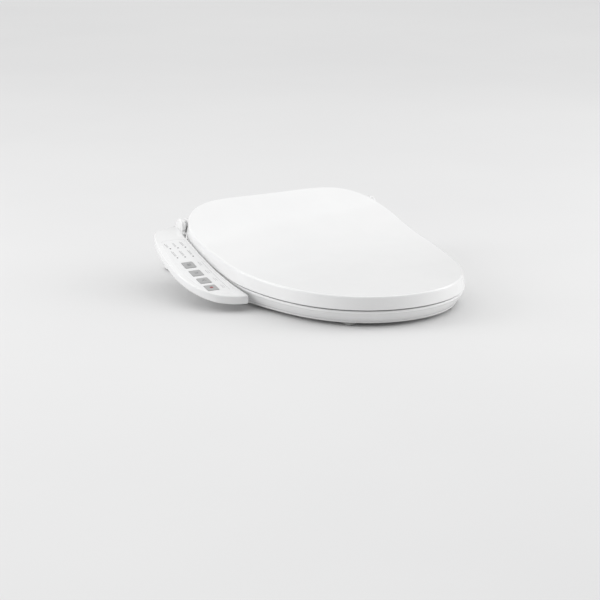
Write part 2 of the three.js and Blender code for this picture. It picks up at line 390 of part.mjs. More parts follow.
// ---- water side -------------------------------------------------------------------------------
{
  const out = M([1, 0, 0], [0, 1, 0], [0, 0, 1], [-140, 0, 18]);
  finish('water_inlet_connector', lathe([[4, 498], [7.6, 498], [7.6, 515.4], [12, 515.4], [12, 519], [10, 520], [10, 531], [9, 532], [4, 532], [4, 498]], 20, out), 0xc9cbcc, 0.25, 0.85);
  const valve = join(box(-152, -128, 468, 496, 11, 26), rodZ(9, 25.5, 38, -140, 482, 16));
  finish('solenoid_valve', valve, 0x3d4247, 0.5, 0.1);
  const heater = join(box(-118, -38, 446, 498, 11, 34), rodX(4, -123, -117, 488, 20, 12), rodX(4, -39, -33, 488, 20, 12));
  finish('instant_water_heater', heater, 0x8b8f93, 0.45, 0.3);
}

// ---- warm-air dryer ------------------------------------------------------------------------
{
  const cx = 72, cv = 472;
  let scroll = join(rodZ(30, 11, 34, cx, cv, 28), box(42, 62, 436, cv, 11, 34));
  scroll = cut(scroll, rodZ(27.6, 13, 32, cx, cv, 28), box(44, 60, 430, cv, 13, 32), rodZ(12, 31, 36, cx, cv, 16));
  finish('blower_housing', scroll, 0x4a4e52, 0.5, 0);
  const blades = Array.from({ length: 12 }, (_, i) => {
    const g = new THREE.BoxGeometry(6.5, 1.2, 12); g.translate(19.5, 0, 7.6);
    g.rotateZ(i * Math.PI / 6); g.translate(cx, cv, 14); return solid(g);
  });
  const wheel = cut(join(rodZ(24, 14.2, 16, cx, cv, 24), blades, rodZ(5, 15, 27, cx, cv, 12)), rodZ(1.9, 15.2, 30, cx, cv, 10));
  finish('blower_impeller', wheel, 0x2b2d30, 0.45, 0);
  finish('blower_motor', join(rodZ(8.5, 27.6, 40.4, cx, cv, 20), rodZ(1.4, 16.5, 28, cx, cv, 10)), 0x8d9093, 0.35, 0.8);
  const duct = cut(box(43, 61, 409, 435.6, 12.5, 30.5), box(44.6, 59.4, 400, 440, 14, 29));
  finish('dryer_duct', duct, 0xb9bcbe, 0.5, 0);
  let grille = box(42.4, 61.6, 402.6, 405, 12.4, 27.6);
  grille = cut(grille, [0, 1, 2, 3].map((i) => box(44.4, 59.6, 400, 408, 14.2 + i * 3.3, 16 + i * 3.3)));
  finish('dryer_outlet_grille', grille, 0xe2e3e3, 0.35, 0);
  finish('deodoriser_filter', box(96, 160, 408, 425.5, 30, 66), 0x26282a, 0.8, 0);
}

// ---- electronics -------------------------------------------------------------------------------
{
  const board = join(box(112, 160, 440, 503, 12, 13.6), box(118, 140, 470, 495, 13.4, 33), box(144, 156, 450, 466, 13.4, 27), rodZ(5, 13.4, 30, 126, 455, 12));
  finish('main_board', board, 0x2f6b45, 0.5, 0.1);
  const out = M([1, 0, 0], [0, 1, 0], [0, 0, 1], [150, 0, 16]);
  finish('power_cord_gland', lathe([[3.4, 505], [4.8, 505], [4.8, 515.3], [8, 515.3], [8, 518], [6, 524], [3.4, 524], [3.4, 505]], 18, out), 0xe6e6e4, 0.5, 0);
}

const object = new THREE.Group();
object.name = 'electric_bidet_seat';
const shifted = new THREE.Group();
shifted.position.set(0, -BOLT_V, 0);
for (const m of nodes) shifted.add(m);
object.add(shifted);
export default object;
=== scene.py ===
"""Electric bidet seat: the looks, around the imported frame. Shapes are worked out in millimetres
in (x, v, z), where v runs back from the lid's front tip, and are put in the frame in metres."""

import math

import bmesh
import bpy
from mathutils import Matrix, Vector


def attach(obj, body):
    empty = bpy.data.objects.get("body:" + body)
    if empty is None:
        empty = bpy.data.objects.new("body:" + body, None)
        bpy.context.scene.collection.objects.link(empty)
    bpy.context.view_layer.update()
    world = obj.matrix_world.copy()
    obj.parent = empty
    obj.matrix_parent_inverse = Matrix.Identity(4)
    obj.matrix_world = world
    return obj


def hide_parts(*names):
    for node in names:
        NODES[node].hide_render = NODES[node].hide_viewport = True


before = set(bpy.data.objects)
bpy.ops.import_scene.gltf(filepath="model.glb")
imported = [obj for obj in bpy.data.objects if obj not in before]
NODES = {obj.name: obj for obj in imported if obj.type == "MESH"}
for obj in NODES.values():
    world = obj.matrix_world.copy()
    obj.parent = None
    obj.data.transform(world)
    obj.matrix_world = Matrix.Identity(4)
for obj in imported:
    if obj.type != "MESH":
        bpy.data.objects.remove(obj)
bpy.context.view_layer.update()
scene = bpy.context.scene
MM = 0.001
BOLT_V = 470.0

# ------------------------------------------------------------------ camera, floor, light
cam_data = bpy.data.cameras.new("camera")
cam_data.lens = 111.0
cam_data.sensor_width = 36.0
cam_data.clip_start = 0.05
cam_data.clip_end = 50.0
cam = bpy.data.objects.new("camera", cam_data)
cam.location = (-1.5043, -2.7164, 0.7824)
cam.rotation_euler = (math.radians(74.6), 0.0, math.radians(-30.0))
scene.collection.objects.link(cam)
scene.camera = cam
scene.view_settings.view_transform = "Standard"
scene.view_settings.look = "None"

SKY = (0.21, 0.54, 0.95, 0.42)  # level, part that grows with height, part that grows to the sides, front-to-back tilt
world = bpy.data.worlds.new("studio")
scene.world = world
world.use_nodes = True
wt = world.node_tree
sky = wt.nodes["Background"]
SIDE = (0.866, -0.5, 0.0)  # across the view: the soft boxes stand left and right of it
AWAY = (0.5, 0.866, 0.0)  # from the camera to the pale wall behind


def wmath(op, a, b=None):
    n = wt.nodes.new("ShaderNodeMath")
    n.operation = op
    for k, q in enumerate((a, b)):
        if q is None:
            continue
        if isinstance(q, (int, float)):
            n.inputs[k].default_value = q
        else:
            wt.links.new(q, n.inputs[k])
    return n.outputs[0]


_dir = wt.nodes.new("ShaderNodeTexCoord").outputs["Generated"]
_dot = wt.nodes.new("ShaderNodeVectorMath")
_dot.operation = "DOT_PRODUCT"
_dot.inputs[1].default_value = SIDE
wt.links.new(_dir, _dot.inputs[0])
_sep = wt.nodes.new("ShaderNodeSeparateXYZ")
wt.links.new(_dir, _sep.inputs[0])
_up = wmath("MAXIMUM", _sep.outputs["Z"], 0.0)
_side = wmath("MULTIPLY", wmath("POWER", wmath("ABSOLUTE", _dot.outputs["Value"]), 2.0), SKY[2])
_far = wt.nodes.new("ShaderNodeVectorMath")
_far.operation = "DOT_PRODUCT"
_far.inputs[1].default_value = AWAY
wt.links.new(_dir, _far.inputs[0])
_tilt = wmath("ADD", wmath("MULTIPLY", _far.outputs["Value"], SKY[3]), 1.0)
wt.links.new(wmath("MULTIPLY", wmath("ADD", wmath("ADD", wmath("MULTIPLY", _up, SKY[1]), _side), SKY[0]), _tilt), sky.inputs[1])
sky.inputs[0].default_value = (1.0, 1.0, 1.0, 1.0)
back = wt.nodes.new("ShaderNodeBackground")
back.inputs[0].default_value = (1.0, 1.0, 1.0, 1.0)
back.inputs[1].default_value = 0.8
mix = wt.nodes.new("ShaderNodeMixShader")
wt.links.new(wt.nodes.new("ShaderNodeLightPath").outputs["Is Camera Ray"], mix.inputs[0])
wt.links.new(sky.outputs[0], mix.inputs[1])
wt.links.new(back.outputs[0], mix.inputs[2])
wt.links.new(mix.outputs[0], wt.nodes["World Output"].inputs["Surface"])


def area(name, loc, target, sx, sy, watts):
    data = bpy.data.lights.new(name, "AREA")
    data.shape = "RECTANGLE"
    data.size, data.size_y = sx, sy
    data.energy = watts
    ob = bpy.data.objects.new(name, data)
    ob.location = loc
    d = Vector(target) - Vector(loc)
    ob.rotation_euler = d.to_track_quat("-Z", "Y").to_euler()
    scene.collection.objects.link(ob)
    return ob


MID = (0.0, -0.2, 0.05)
key = bpy.data.objects.new("key_top", bpy.data.lights.new("key_top", "SUN"))  # very wide and even, so the floor is one tone
key.data.energy = 0.56
key.data.angle = math.radians(100)
key.location = (0.0, 0.0, 2.0)
scene.collection.objects.link(key)
area("soft_left", (-2.0, 0.75, 0.9), MID, 1.3, 1.3, 13.5)
area("soft_right", (2.1, -1.0, 0.9), MID, 1.3, 1.3, 13.0)


# ------------------------------------------------------------------ materials
def ramp(nt, fac, stops):
    n = nt.nodes.new("ShaderNodeValToRGB")
    el = n.color_ramp.elements
    el[0].position, el[0].color = stops[0][0], (*stops[0][1], 1)
    el[1].position, el[1].color = stops[-1][0], (*stops[-1][1], 1)
    for p, c in stops[1:-1]:
        e = el.new(p)
        e.color = (*c, 1)
    nt.links.new(fac, n.inputs[0])
    return n.outputs[0]


def noise(nt, vec, scale, detail=3.0, rough=0.5, dist=0.0):
    n = nt.nodes.new("ShaderNodeTexNoise")
    n.inputs["Scale"].default_value = scale
    n.inputs["Detail"].default_value = detail
    n.inputs["Roughness"].default_value = rough
    n.inputs["Distortion"].default_value = dist
    nt.links.new(vec, n.inputs["Vector"])
    return n.outputs["Fac"]


def mapped(nt, fac, lo, hi):
    n = nt.nodes.new("ShaderNodeMapRange")
    n.inputs["From Min"].default_value = 0.25
    n.inputs["From Max"].default_value = 0.75
    n.inputs["To Min"].default_value = lo
    n.inputs["To Max"].default_value = hi
    nt.links.new(fac, n.inputs["Value"])
    return n.outputs["Result"]


def bumped(nt, height, strength, distance, normal=None):
    n = nt.nodes.new("ShaderNodeBump")
    n.inputs["Strength"].default_value = strength
    n.inputs["Distance"].default_value = distance
    nt.links.new(height, n.inputs["Height"])
    if normal is not None:
        nt.links.new(normal, n.inputs["Normal"])
    return n.outputs["Normal"]


def material(name, lo, hi, rough, *, cscale=9.0, rscale=60.0, bscale=700.0, bump=0.05, bdist=0.00012, metallic=0.0,
             coat=0.0, grain=None, ior=1.5, transmission=0.0, second=None):
    """A moulded or machined finish: colour between lo and hi, roughness range, fine bump, optional coarse grain."""
    m = bpy.data.materials.new(name)
    m.use_nodes = True
    nt = m.node_tree
    bsdf = nt.nodes["Principled BSDF"]
    tc = nt.nodes.new("ShaderNodeTexCoord").outputs["Object"]
    c = ramp(nt, noise(nt, tc, cscale, 4.0, 0.55), [(0.3, lo), (0.7, hi)])
    nt.links.new(c, bsdf.inputs["Base Color"])
    nt.links.new(mapped(nt, noise(nt, tc, rscale, 3.0), *rough), bsdf.inputs["Roughness"])
    nrm = bumped(nt, noise(nt, tc, bscale, 2.0), bump, bdist)
    if grain:
        gs, gb, gd = grain
        vor = nt.nodes.new("ShaderNodeTexVoronoi")
        vor.inputs["Scale"].default_value = gs
        nt.links.new(tc, vor.inputs["Vector"])
        nrm = bumped(nt, vor.outputs["Distance"], gb, gd, nrm)
    if second:  # long, shallow moulding waviness
        nrm = bumped(nt, noise(nt, tc, second[0], 1.0), second[1], second[2], nrm)
    nt.links.new(nrm, bsdf.inputs["Normal"])
    bsdf.inputs["Metallic"].default_value = metallic
    bsdf.inputs["IOR"].default_value = ior
    bsdf.inputs["Coat Weight"].default_value = coat
    bsdf.inputs["Coat Roughness"].default_value = 0.04
    bsdf.inputs["Transmission Weight"].default_value = transmission
    return m


def g(v, tint=(0, 0, 0)):
    return (v + tint[0], v + tint[1], v + tint[2])


MAT = {
    "white_gloss": material("white_gloss", (0.845, 0.848, 0.85), (0.872, 0.873, 0.872), (0.12, 0.2), coat=0.35, bump=0.03, second=(14.0, 0.03, 0.001)),
    "white_satin": material("white_satin", (0.8, 0.803, 0.803), (0.835, 0.836, 0.832), (0.34, 0.46), bscale=1400.0, bump=0.16, grain=(2600.0, 0.05, 0.00006)),
    "white_in": material("white_in", (0.78, 0.785, 0.785), (0.82, 0.822, 0.82), (0.4, 0.55), bscale=1500.0, bump=0.2, grain=(2400.0, 0.08, 0.00008)),
    "overlay_white": material("overlay_white", (0.83, 0.833, 0.836), (0.856, 0.857, 0.858), (0.28, 0.36), bscale=2600.0, bump=0.12, bdist=0.00005, grain=(3600.0, 0.05, 0.00003)),
    "button_grey": material("button_grey", (0.4, 0.402, 0.404), (0.455, 0.457, 0.457), (0.4, 0.52), bscale=2200.0, bump=0.18, bdist=0.00006, grain=(2600.0, 0.1, 0.00005)),
    "release_grey": material("release_grey", (0.4, 0.405, 0.41), (0.46, 0.464, 0.466), (0.38, 0.5), bscale=1600.0, bump=0.18, grain=(2200.0, 0.12, 0.00008)),
    # pad grey is a real grey pushed darker as painted shade, so the bumpers under the seat read as the shadow there;
    # the lid pads and cord gland share this colour
    "pad_grey": material("pad_grey", (0.36, 0.36, 0.355), (0.43, 0.43, 0.424), (0.62, 0.8), bscale=900.0, bump=0.3, bdist=0.0002, grain=(1300.0, 0.2, 0.00015)),
    "foot_grey": material("foot_grey", (0.2, 0.2, 0.205), (0.27, 0.27, 0.275), (0.7, 0.88), bscale=800.0, bump=0.35, bdist=0.0002, grain=(1100.0, 0.25, 0.00018)),
    "lens": material("lens", (0.1, 0.102, 0.106), (0.16, 0.162, 0.166), (0.08, 0.16), bump=0.03),
    "board_green": material("board_green", (0.02, 0.1, 0.045), (0.035, 0.16, 0.07), (0.3, 0.45), cscale=120.0, bscale=1800.0, bump=0.3),
    "dark_plastic": material("dark_plastic", (0.03, 0.032, 0.036), (0.055, 0.058, 0.064), (0.38, 0.55), bscale=1500.0, bump=0.25, grain=(2000.0, 0.2, 0.0001)),
    "mid_plastic": material("mid_plastic", (0.4, 0.408, 0.415), (0.48, 0.487, 0.492), (0.38, 0.52), bscale=1400.0, bump=0.2, grain=(2200.0, 0.12, 0.00008)),
    "damper_grey": material("damper_grey", (0.14, 0.148, 0.158), (0.2, 0.208, 0.216), (0.3, 0.45), bscale=1300.0, bump=0.2),
    "steel": material("steel", (0.5, 0.5, 0.51), (0.62, 0.62, 0.62), (0.2, 0.36), metallic=1.0, cscale=300.0, rscale=500.0, bscale=2500.0, bump=0.2),
    "chrome": material("chrome", (0.62, 0.62, 0.63), (0.74, 0.74, 0.735), (0.12, 0.26), metallic=1.0, cscale=160.0, rscale=300.0, bscale=1800.0, bump=0.1),
    "plate_white": material("plate_white", (0.62, 0.625, 0.63), (0.7, 0.703, 0.703), (0.42, 0.58), bscale=1500.0, bump=0.22, grain=(2000.0, 0.14, 0.0001)),
    "foil": material("foil", (0.5, 0.32, 0.13), (0.66, 0.46, 0.22), (0.22, 0.42), metallic=0.85, cscale=90.0, bscale=240.0, bump=0.5, bdist=0.0004),
    "heater_grey": material("heater_grey", (0.24, 0.255, 0.27), (0.32, 0.335, 0.35), (0.34, 0.5), bscale=1400.0, bump=0.2),
    "filter_black": material("filter_black", (0.014, 0.014, 0.015), (0.035, 0.035, 0.036), (0.75, 0.95), cscale=600.0, bscale=500.0, bump=0.9, bdist=0.0006, grain=(420.0, 0.7, 0.0006)),
    "ink_dark": material("ink_dark", (0.1, 0.102, 0.105), (0.14, 0.142, 0.144), (0.35, 0.5), bscale=2500.0, bump=0.1),
    "ink_grey": material("ink_grey", (0.25, 0.252, 0.255), (0.32, 0.321, 0.322), (0.35, 0.5), bscale=2500.0, bump=0.1),
    "ink_pale": material("ink_pale", (0.36, 0.362, 0.365), (0.43, 0.431, 0.432), (0.35, 0.5), bscale=2500.0, bump=0.1),
    "ink_red": material("ink_red", (0.28, 0.018, 0.03), (0.34, 0.028, 0.042), (0.35, 0.5), bscale=2500.0, bump=0.1),
}

floor_mesh = bpy.data.meshes.new("floor")
floor_mesh.from_pydata([(-30, -30, 0), (30, -30, 0), (30, 30, 0), (-30, 30, 0)], [], [(0, 1, 2, 3)])
floor = bpy.data.objects.new("floor", floor_mesh)
scene.collection.objects.link(floor)
pale = material("floor_pale", (0.72, 0.72, 0.722), (0.75, 0.75, 0.75), (0.6, 0.75), cscale=0.8, bump=0.02)
pale.node_tree.nodes["Principled BSDF"].inputs["Specular IOR Level"].default_value = 0.0
floor.data.materials.append(pale)


# ------------------------------------------------------------------ numbers of the part (mm)
LID_CENTRE_V = 253.84
LID_OUTLINE = [217.74, -0.17, 26.4, 15.74, -9.26, 6.22, -2.18, -1.32, 1.15, -0.48]
LID_TOP = [(0, 50.1), (67, 50.3), (134, 51.2), (167, 52.3), (201, 54.2), (234, 57.1), (268, 61.2), (301, 66.6), (335, 73.6), (368, 82.4), (402, 93.1), (435, 106.1), (455, 114.4), (470, 119.6)]
LID_SKIRT = [(0, 20.6), (246, 21.8), (400, 21), (440, 19.5), (470, 17)]
LID_CROWN, LID_FLARE, LID_SKIN, LID_SEAT_GAP = 2.4, 3.6, 3.4, 1.5
HINGE_V, HINGE_Z, BORE_R, PIN_R = 432.0, 88.0, 4.95, 4.5
SEAT_BACK_V, SEAT_SKIN = 396.0, 3.2
HOLE_V, HOLE_A, HOLE_B = 212.0, 137.0, 108.0
ARM_TOP = [(150, 15), (197, 25), (245, 35), (292, 46), (342, 61), (383, 74), (416, 81), (455, 87)]
ARM_OUTER = [(-184, 196), (-207, 200), (-230, 212), (-240, 224), (-248, 240), (-255, 262), (-259, 294), (-258.5, 333), (-254.5, 371), (-247.5, 400), (-240, 420), (-233, 432), (-222, 439), (-208, 443), (-195, 447), (-177.5, 450)]
ARM_INNER = [(-177.5, 430), (-181.2, 422.5), (-184.6, 416.2), (-191, 413.6), (-193, 404), (-194.5, 383), (-195, 342), (-193.5, 292), (-190.5, 245), (-184, 196)]
FILM = [(-197, 211), (-226, 221), (-238, 236), (-245.5, 256), (-249.5, 290), (-249, 330), (-245.5, 366), (-240, 394), (-200.5, 394), (-200.5, 342), (-199, 292), (-196.5, 245)]
LAMPS = [(-237, 341), (-223.5, 340.5), (-209.5, 340), (-236, 368.5), (-222.5, 368), (-209.5, 367.5)]
BUTTON_X, BUTTON_W, BUTTON_L, BUTTON_GAP, BUTTON_PROUD = -229.0, 19.5, 18.5, 0.4, 0.7
BUTTON_V = [239.0, 264.5, 290.5, 316.5]


def smooth(table):
    """Shape-keeping cubic through a table (monotone slopes)."""
    xs = [float(a) for a, _ in table]
    ys = [float(b) for _, b in table]
    n = len(xs)
    d = [(ys[i + 1] - ys[i]) / (xs[i + 1] - xs[i]) for i in range(n - 1)]
    m = [d[0]] + [0.0] * (n - 2) + [d[-1]]
    for i in range(1, n - 1):
        if d[i - 1] * d[i] > 0:
            w1 = 2 * (xs[i + 1] - xs[i]) + (xs[i] - xs[i - 1])
            w2 = (xs[i + 1] - xs[i]) + 2 * (xs[i] - xs[i - 1])
            m[i] = (w1 + w2) / (w1 / d[i - 1] + w2 / d[i])

    def f(x):
        if x <= xs[0]:
            return ys[0] + (m[0] * (x - xs[0]) if x < xs[0] - 1e-9 else 0.0)
        if x >= xs[-1]:
            return ys[-1] + m[-1] * (x - xs[-1])
        lo, hi = 0, n - 1
        while hi - lo > 1:
            k = (lo + hi) // 2
            if xs[k] <= x:
                lo = k
            else:
                hi = k
        h = xs[hi] - xs[lo]
        t = (x - xs[lo]) / h
        return ((1 + 2 * t) * (1 - t) ** 2 * ys[lo] + t * (1 - t) ** 2 * h * m[lo] + t * t * (3 - 2 * t) * ys[hi] + t * t * (t - 1) * h * m[hi])

    return f


lid_top, lid_skirt, arm_top = smooth(LID_TOP), smooth(LID_SKIRT), smooth(ARM_TOP)


def lid_edge(v):
    return lid_top(v) - lid_skirt(v)


def seat_top(v):
    return lid_edge(v) - LID_SEAT_GAP


def lid_radius(t):
    return sum(c * math.cos(k * t) for k, c in enumerate(LID_OUTLINE))


def lid_point(t, d=0.0):
    e = 1e-3

    def p(u):
        r = lid_radius(u)
        return r * math.sin(u), LID_CENTRE_V - r * math.cos(u)

    (x, v), (xa, va), (xb, vb) = p(t), p(t - e), p(t + e)
    tx, tv = xb - xa, vb - va
    n = math.hypot(tx, tv)
    nx, nv = tv / n, -tx / n
    if nx * x + nv * (v - LID_CENTRE_V) < 0:
        nx, nv = -nx, -nv
    return x + nx * d, v + nv * d


_ring = {}


def seat_outer(t, d):
    """Distance from the opening's middle to the ring's outline moved out by d, in direction t."""
    key = round(d, 3)
    if key not in _ring:
        pts = []
        for i in range(1440):
            x, v = lid_point(2 * math.pi * i / 1440, d)
            pts.append((math.atan2(x, HOLE_V - v) % (2 * math.pi), math.hypot(x, v - HOLE_V)))
        pts.sort()
        _ring[key] = pts
    pts = _ring[key]
    a = t % (2 * math.pi)
    lo, hi = 0, len(pts) - 1
    if a <= pts[0][0] or a >= pts[-1][0]:
        (a0, r0), (a1, r1) = pts[-1], pts[0]
        span = a1 + 2 * math.pi - a0
        best = r0 + (r1 - r0) * (((a - a0) % (2 * math.pi)) / span)
    else:
        while hi - lo > 1:
            k = (lo + hi) // 2
            if pts[k][0] <= a:
                lo = k
            else:
                hi = k
        (a0, r0), (a1, r1) = pts[lo], pts[hi]
        best = r0 + (r1 - r0) * (a - a0) / max(a1 - a0, 1e-12)
    dv = -math.cos(t)
    if dv > 0.01:
        r2 = (SEAT_BACK_V + d - HOLE_V) / dv
        p = 24
        best = (best ** -p + r2 ** -p) ** (-1 / p)
    return best


def hole_radius(t, d=0.0):
    p = 2.25
    return ((abs(math.cos(t)) / (HOLE_A + d)) ** p + (abs(math.sin(t)) / (HOLE_B + d)) ** p) ** (-1 / p)


def seat_at(t, r):
    return r * math.sin(t), HOLE_V - r * math.cos(t)


# ------------------------------------------------------------------ mesh code
def to_frame(p):
    return (p[0] * MM, (p[1] - BOLT_V) * MM, p[2] * MM)


def raw(name, verts, faces):
    me = bpy.data.meshes.new(name)
    me.from_pydata([to_frame(p) for p in verts], [], faces)
    bm = bmesh.new()
    bm.from_mesh(me)
    bmesh.ops.remove_doubles(bm, verts=bm.verts, dist=2e-7)
    bmesh.ops.dissolve_degenerate(bm, dist=1e-7, edges=bm.edges)
    bmesh.ops.recalc_face_normals(bm, faces=bm.faces)
    bm.to_mesh(me)
    bm.free()
    ob = bpy.data.objects.new(name, me)
    scene.collection.objects.link(ob)
    return ob


def loft(name, rows, cap=True, closed=False):
    """Skins equal rows of points; the rows are closed loops. cap fills both ends, closed joins the last row to the first."""
    n = len(rows[0])
    verts = [p for r in rows for p in r]
    faces = []
    last = len(rows) if closed else len(rows) - 1
    for j in range(last):
        a, b = j * n, ((j + 1) % len(rows)) * n
        for i in range(n):
            k = (i + 1) % n
            faces.append((a + i, a + k, b + k, b + i))
    if cap and not closed:
        faces.append(tuple(range(n - 1, -1, -1)))
        faces.append(tuple(range((len(rows) - 1) * n, len(rows) * n)))
    return raw(name, verts, faces)


def join_objects(a, *others):
    """Puts the meshes of others into a (loose parts stay as they are)."""
    bm = bmesh.new()
    bm.from_mesh(a.data)
    for o in others:
        bm.from_mesh(o.data)
        me = o.data
        bpy.data.objects.remove(o)
        bpy.data.meshes.remove(me)
    bm.to_mesh(a.data)
    bm.free()
    return a


def boolean(a, b, op):
    m = a.modifiers.new("cut", "BOOLEAN")
    m.operation, m.object, m.solver = op, b, "EXACT"
    bpy.context.view_layer.update()
    dg = bpy.context.evaluated_depsgraph_get()
    me = bpy.data.meshes.new_from_object(a.evaluated_get(dg))
    a.modifiers.clear()
    old = a.data
    me.name = old.name
    a.data = me
    bpy.data.meshes.remove(old)
    bme = b.data
    bpy.data.objects.remove(b)
    bpy.data.meshes.remove(bme)
    bm = bmesh.new()
    bm.from_mesh(me)
    bmesh.ops.remove_doubles(bm, verts=bm.verts, dist=1e-6)
    bmesh.ops.dissolve_degenerate(bm, dist=1e-6, edges=bm.edges)
    bm.to_mesh(me)
    bm.free()
    return a


def union(a, *bs):
    for b in bs:
        boolean(a, b, "UNION")
    return a


def cut(a, *bs):
    for b in bs:
        boolean(a, b, "DIFFERENCE")
    return a


def bevel_edges(ob, width, seg=3, angle=30.0, keep=None):
    """Rounds the sharp edges of ob's mesh. keep(midpoint mm) limits which edges."""
    bm = bmesh.new()
    bm.from_mesh(ob.data)
    lim = math.radians(angle)
    edges = []
    for e in bm.edges:
        if len(e.link_faces) == 2 and e.calc_face_angle(0.0) > lim:
            if keep is not None:
                c = (e.verts[0].co + e.verts[1].co) / 2
                if not keep(c.x / MM, c.y / MM + BOLT_V, c.z / MM):
                    continue
            edges.append(e)
    bmesh.ops.bevel(bm, geom=edges, offset=width * MM, segments=seg, profile=0.5, affect="EDGES", clamp_overlap=True)
    bm.to_mesh(ob.data)
    bm.free()
    return ob


def prism(name, pts, lo, hi, m=None, bevel=0.0, seg=3):
    """Prism of outline pts (a, b) from lo to hi. m maps (a, b, h) to (x, v, z)."""
    f = m or (lambda a, b, h: (a, b, h))
    ob = loft(name, [[f(a, b, lo) for a, b in pts], [f(a, b, hi) for a, b in pts]])
    if bevel:
        bevel_edges(ob, bevel, seg)
    return ob


def prism_x(name, pts, x0, x1, bevel=0.0, seg=3):
    return prism(name, pts, x0, x1, lambda a, b, h: (h, a, b), bevel, seg)


def rbox(name, x0, x1, v0, v1, z0, z1, bevel=0.0, seg=3):
    return prism(name, [(x0, v0), (x1, v0), (x1, v1), (x0, v1)], z0, z1, None, bevel, seg)


def circle(cx, cy, r, n=48):
    return [(cx + r * math.cos(2 * math.pi * i / n), cy + r * math.sin(2 * math.pi * i / n)) for i in range(n)]


def round_rect(x0, x1, y0, y1, r, n=8):
    rs = list(r) if isinstance(r, (list, tuple)) else [r] * 4
    out = []
    for k, (cx, cy, a0) in enumerate([(x0, y0, math.pi), (x1, y0, 1.5 * math.pi), (x1, y1, 0.0), (x0, y1, 0.5 * math.pi)]):
        q = max(rs[k], 0.05)
        sx, sy = (1 if cx == x0 else -1), (1 if cy == y0 else -1)
        for i in range(n + 1):
            a = a0 + 0.5 * math.pi * i / n
            out.append((cx + sx * q + q * math.cos(a), cy + sy * q + q * math.sin(a)))
    return out


def rounded(pts, radii, n=5, closed=False):
    """Polyline with its corners replaced by arcs; the count of points depends only on the inputs' lengths."""
    out = []
    m = len(pts)
    for i, p in enumerate(pts):
        r = radii[i]
        if r <= 0 or (not closed and i in (0, m - 1)):
            out.append(p)
            continue
        a, b = pts[i - 1], pts[(i + 1) % m]
        u = (a[0] - p[0], a[1] - p[1])
        w = (b[0] - p[0], b[1] - p[1])
        lu, lw = math.hypot(*u) or 1e-9, math.hypot(*w) or 1e-9
        u, w = (u[0] / lu, u[1] / lu), (w[0] / lw, w[1] / lw)
        cosang = max(-0.9999, min(0.9999, u[0] * w[0] + u[1] * w[1]))
        half = math.acos(cosang) / 2
        t = min(r / math.tan(half), 0.46 * lu, 0.46 * lw)
        for k in range(n + 1):
            s = k / n
            q0 = (p[0] + u[0] * t, p[1] + u[1] * t)
            q1 = (p[0] + w[0] * t, p[1] + w[1] * t)
            wgt = math.sin(half)  # rational quadratic: a true arc
            d = (1 - s) ** 2 + 2 * wgt * s * (1 - s) + s * s
            out.append((((1 - s) ** 2 * q0[0] + 2 * wgt * s * (1 - s) * p[0] + s * s * q1[0]) / d,
                        ((1 - s) ** 2 * q0[1] + 2 * wgt * s * (1 - s) * p[1] + s * s * q1[1]) / d))
    return out


def lathe(name, profile, n, place):
    """Profile of (radius, height) from axis to axis or closed; place(a, b, h) maps to (x, v, z)."""
    on_axis = profile[0][0] < 1e-6 and profile[-1][0] < 1e-6
    body = profile[1:-1] if on_axis else profile
    verts, faces = [], []
    for r, h in body:
        for i in range(n):
            a = 2 * math.pi * i / n
            verts.append(place(r * math.cos(a), r * math.sin(a), h))
    rows = len(body)
    for j in range(rows - 1 if on_axis else rows):
        a, b = j * n, ((j + 1) % rows) * n
        for i in range(n):
            k = (i + 1) % n
            faces.append((a + i, a + k, b + k, b + i))
    if on_axis:
        c0 = len(verts)
        verts.append(place(0, 0, profile[0][1]))
        verts.append(place(0, 0, profile[-1][1]))
        for i in range(n):
            k = (i + 1) % n
            faces.append((c0, k, i))
            faces.append((c0 + 1, (rows - 1) * n + i, (rows - 1) * n + k))
    return raw(name, verts, faces)


def rod_x(name, r, x0, x1, v, z, n=48, edge=0.0, seg=4):
    pts = [(0, x0)] + rounded([(0, x0), (r, x0), (r, x1), (0, x1)], [0, edge, edge, 0], seg)[1:-1] + [(0, x1)] if edge else [(0, x0), (r, x0), (r, x1), (0, x1)]
    return lathe(name, pts, n, lambda a, b, h: (h, v + a, z + b))


def rod_z(name, r, z0, z1, x, v, n=48, edge=0.0, seg=4):
    pts = rounded([(0, z0), (r, z0), (r, z1), (0, z1)], [0, edge, edge, 0], seg) if edge else [(0, z0), (r, z0), (r, z1), (0, z1)]
    return lathe(name, pts, n, lambda a, b, h: (x + a, v + b, h))


def shade(ob, angle=34.0, weighted=True):
    me = ob.data
    for a in ("custom_normal",):
        if a in me.attributes:
            me.attributes.remove(me.attributes[a])
    me.polygons.foreach_set("use_smooth", [True] * len(me.polygons))
    me.set_sharp_from_angle(angle=math.radians(angle))
    if weighted:
        m = ob.modifiers.new("normals", "WEIGHTED_NORMAL")
        m.keep_sharp = True
        m.weight = 60
    return ob


def done(ob, body, mat, stands_for=(), angle=34.0, weighted=True):
    shade(ob, angle, weighted)
    ob.data.materials.clear()
    ob.data.materials.append(MAT[mat])
    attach(ob, body)
    if stands_for:
        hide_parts(*stands_for)
    return ob


def refine(node, body, mat, width=0.5, seg=2, angle=32.0):
    """A copy of a plain node with its flat faces merged and its edges broken, standing for the node."""
    src = NODES[node].data
    me = bpy.data.meshes.new(node + "_fine")
    me.from_pydata([tuple(v.co) for v in src.vertices], [], [tuple(p.vertices) for p in src.polygons])
    bm = bmesh.new()
    bm.from_mesh(me)
    bmesh.ops.remove_doubles(bm, verts=bm.verts, dist=1e-6)
    bmesh.ops.dissolve_limit(bm, angle_limit=math.radians(0.6), verts=bm.verts, edges=bm.edges)
    bm.to_mesh(me)
    bm.free()
    ob = bpy.data.objects.new(node + "_fine", me)
    scene.collection.objects.link(ob)
    if width:
        m = ob.modifiers.new("edges", "BEVEL")
        m.width, m.segments, m.limit_method, m.angle_limit = width * MM, seg, "ANGLE", math.radians(angle)
        m.use_clamp_overlap = True
    return done(ob, body, mat, (node,), angle)


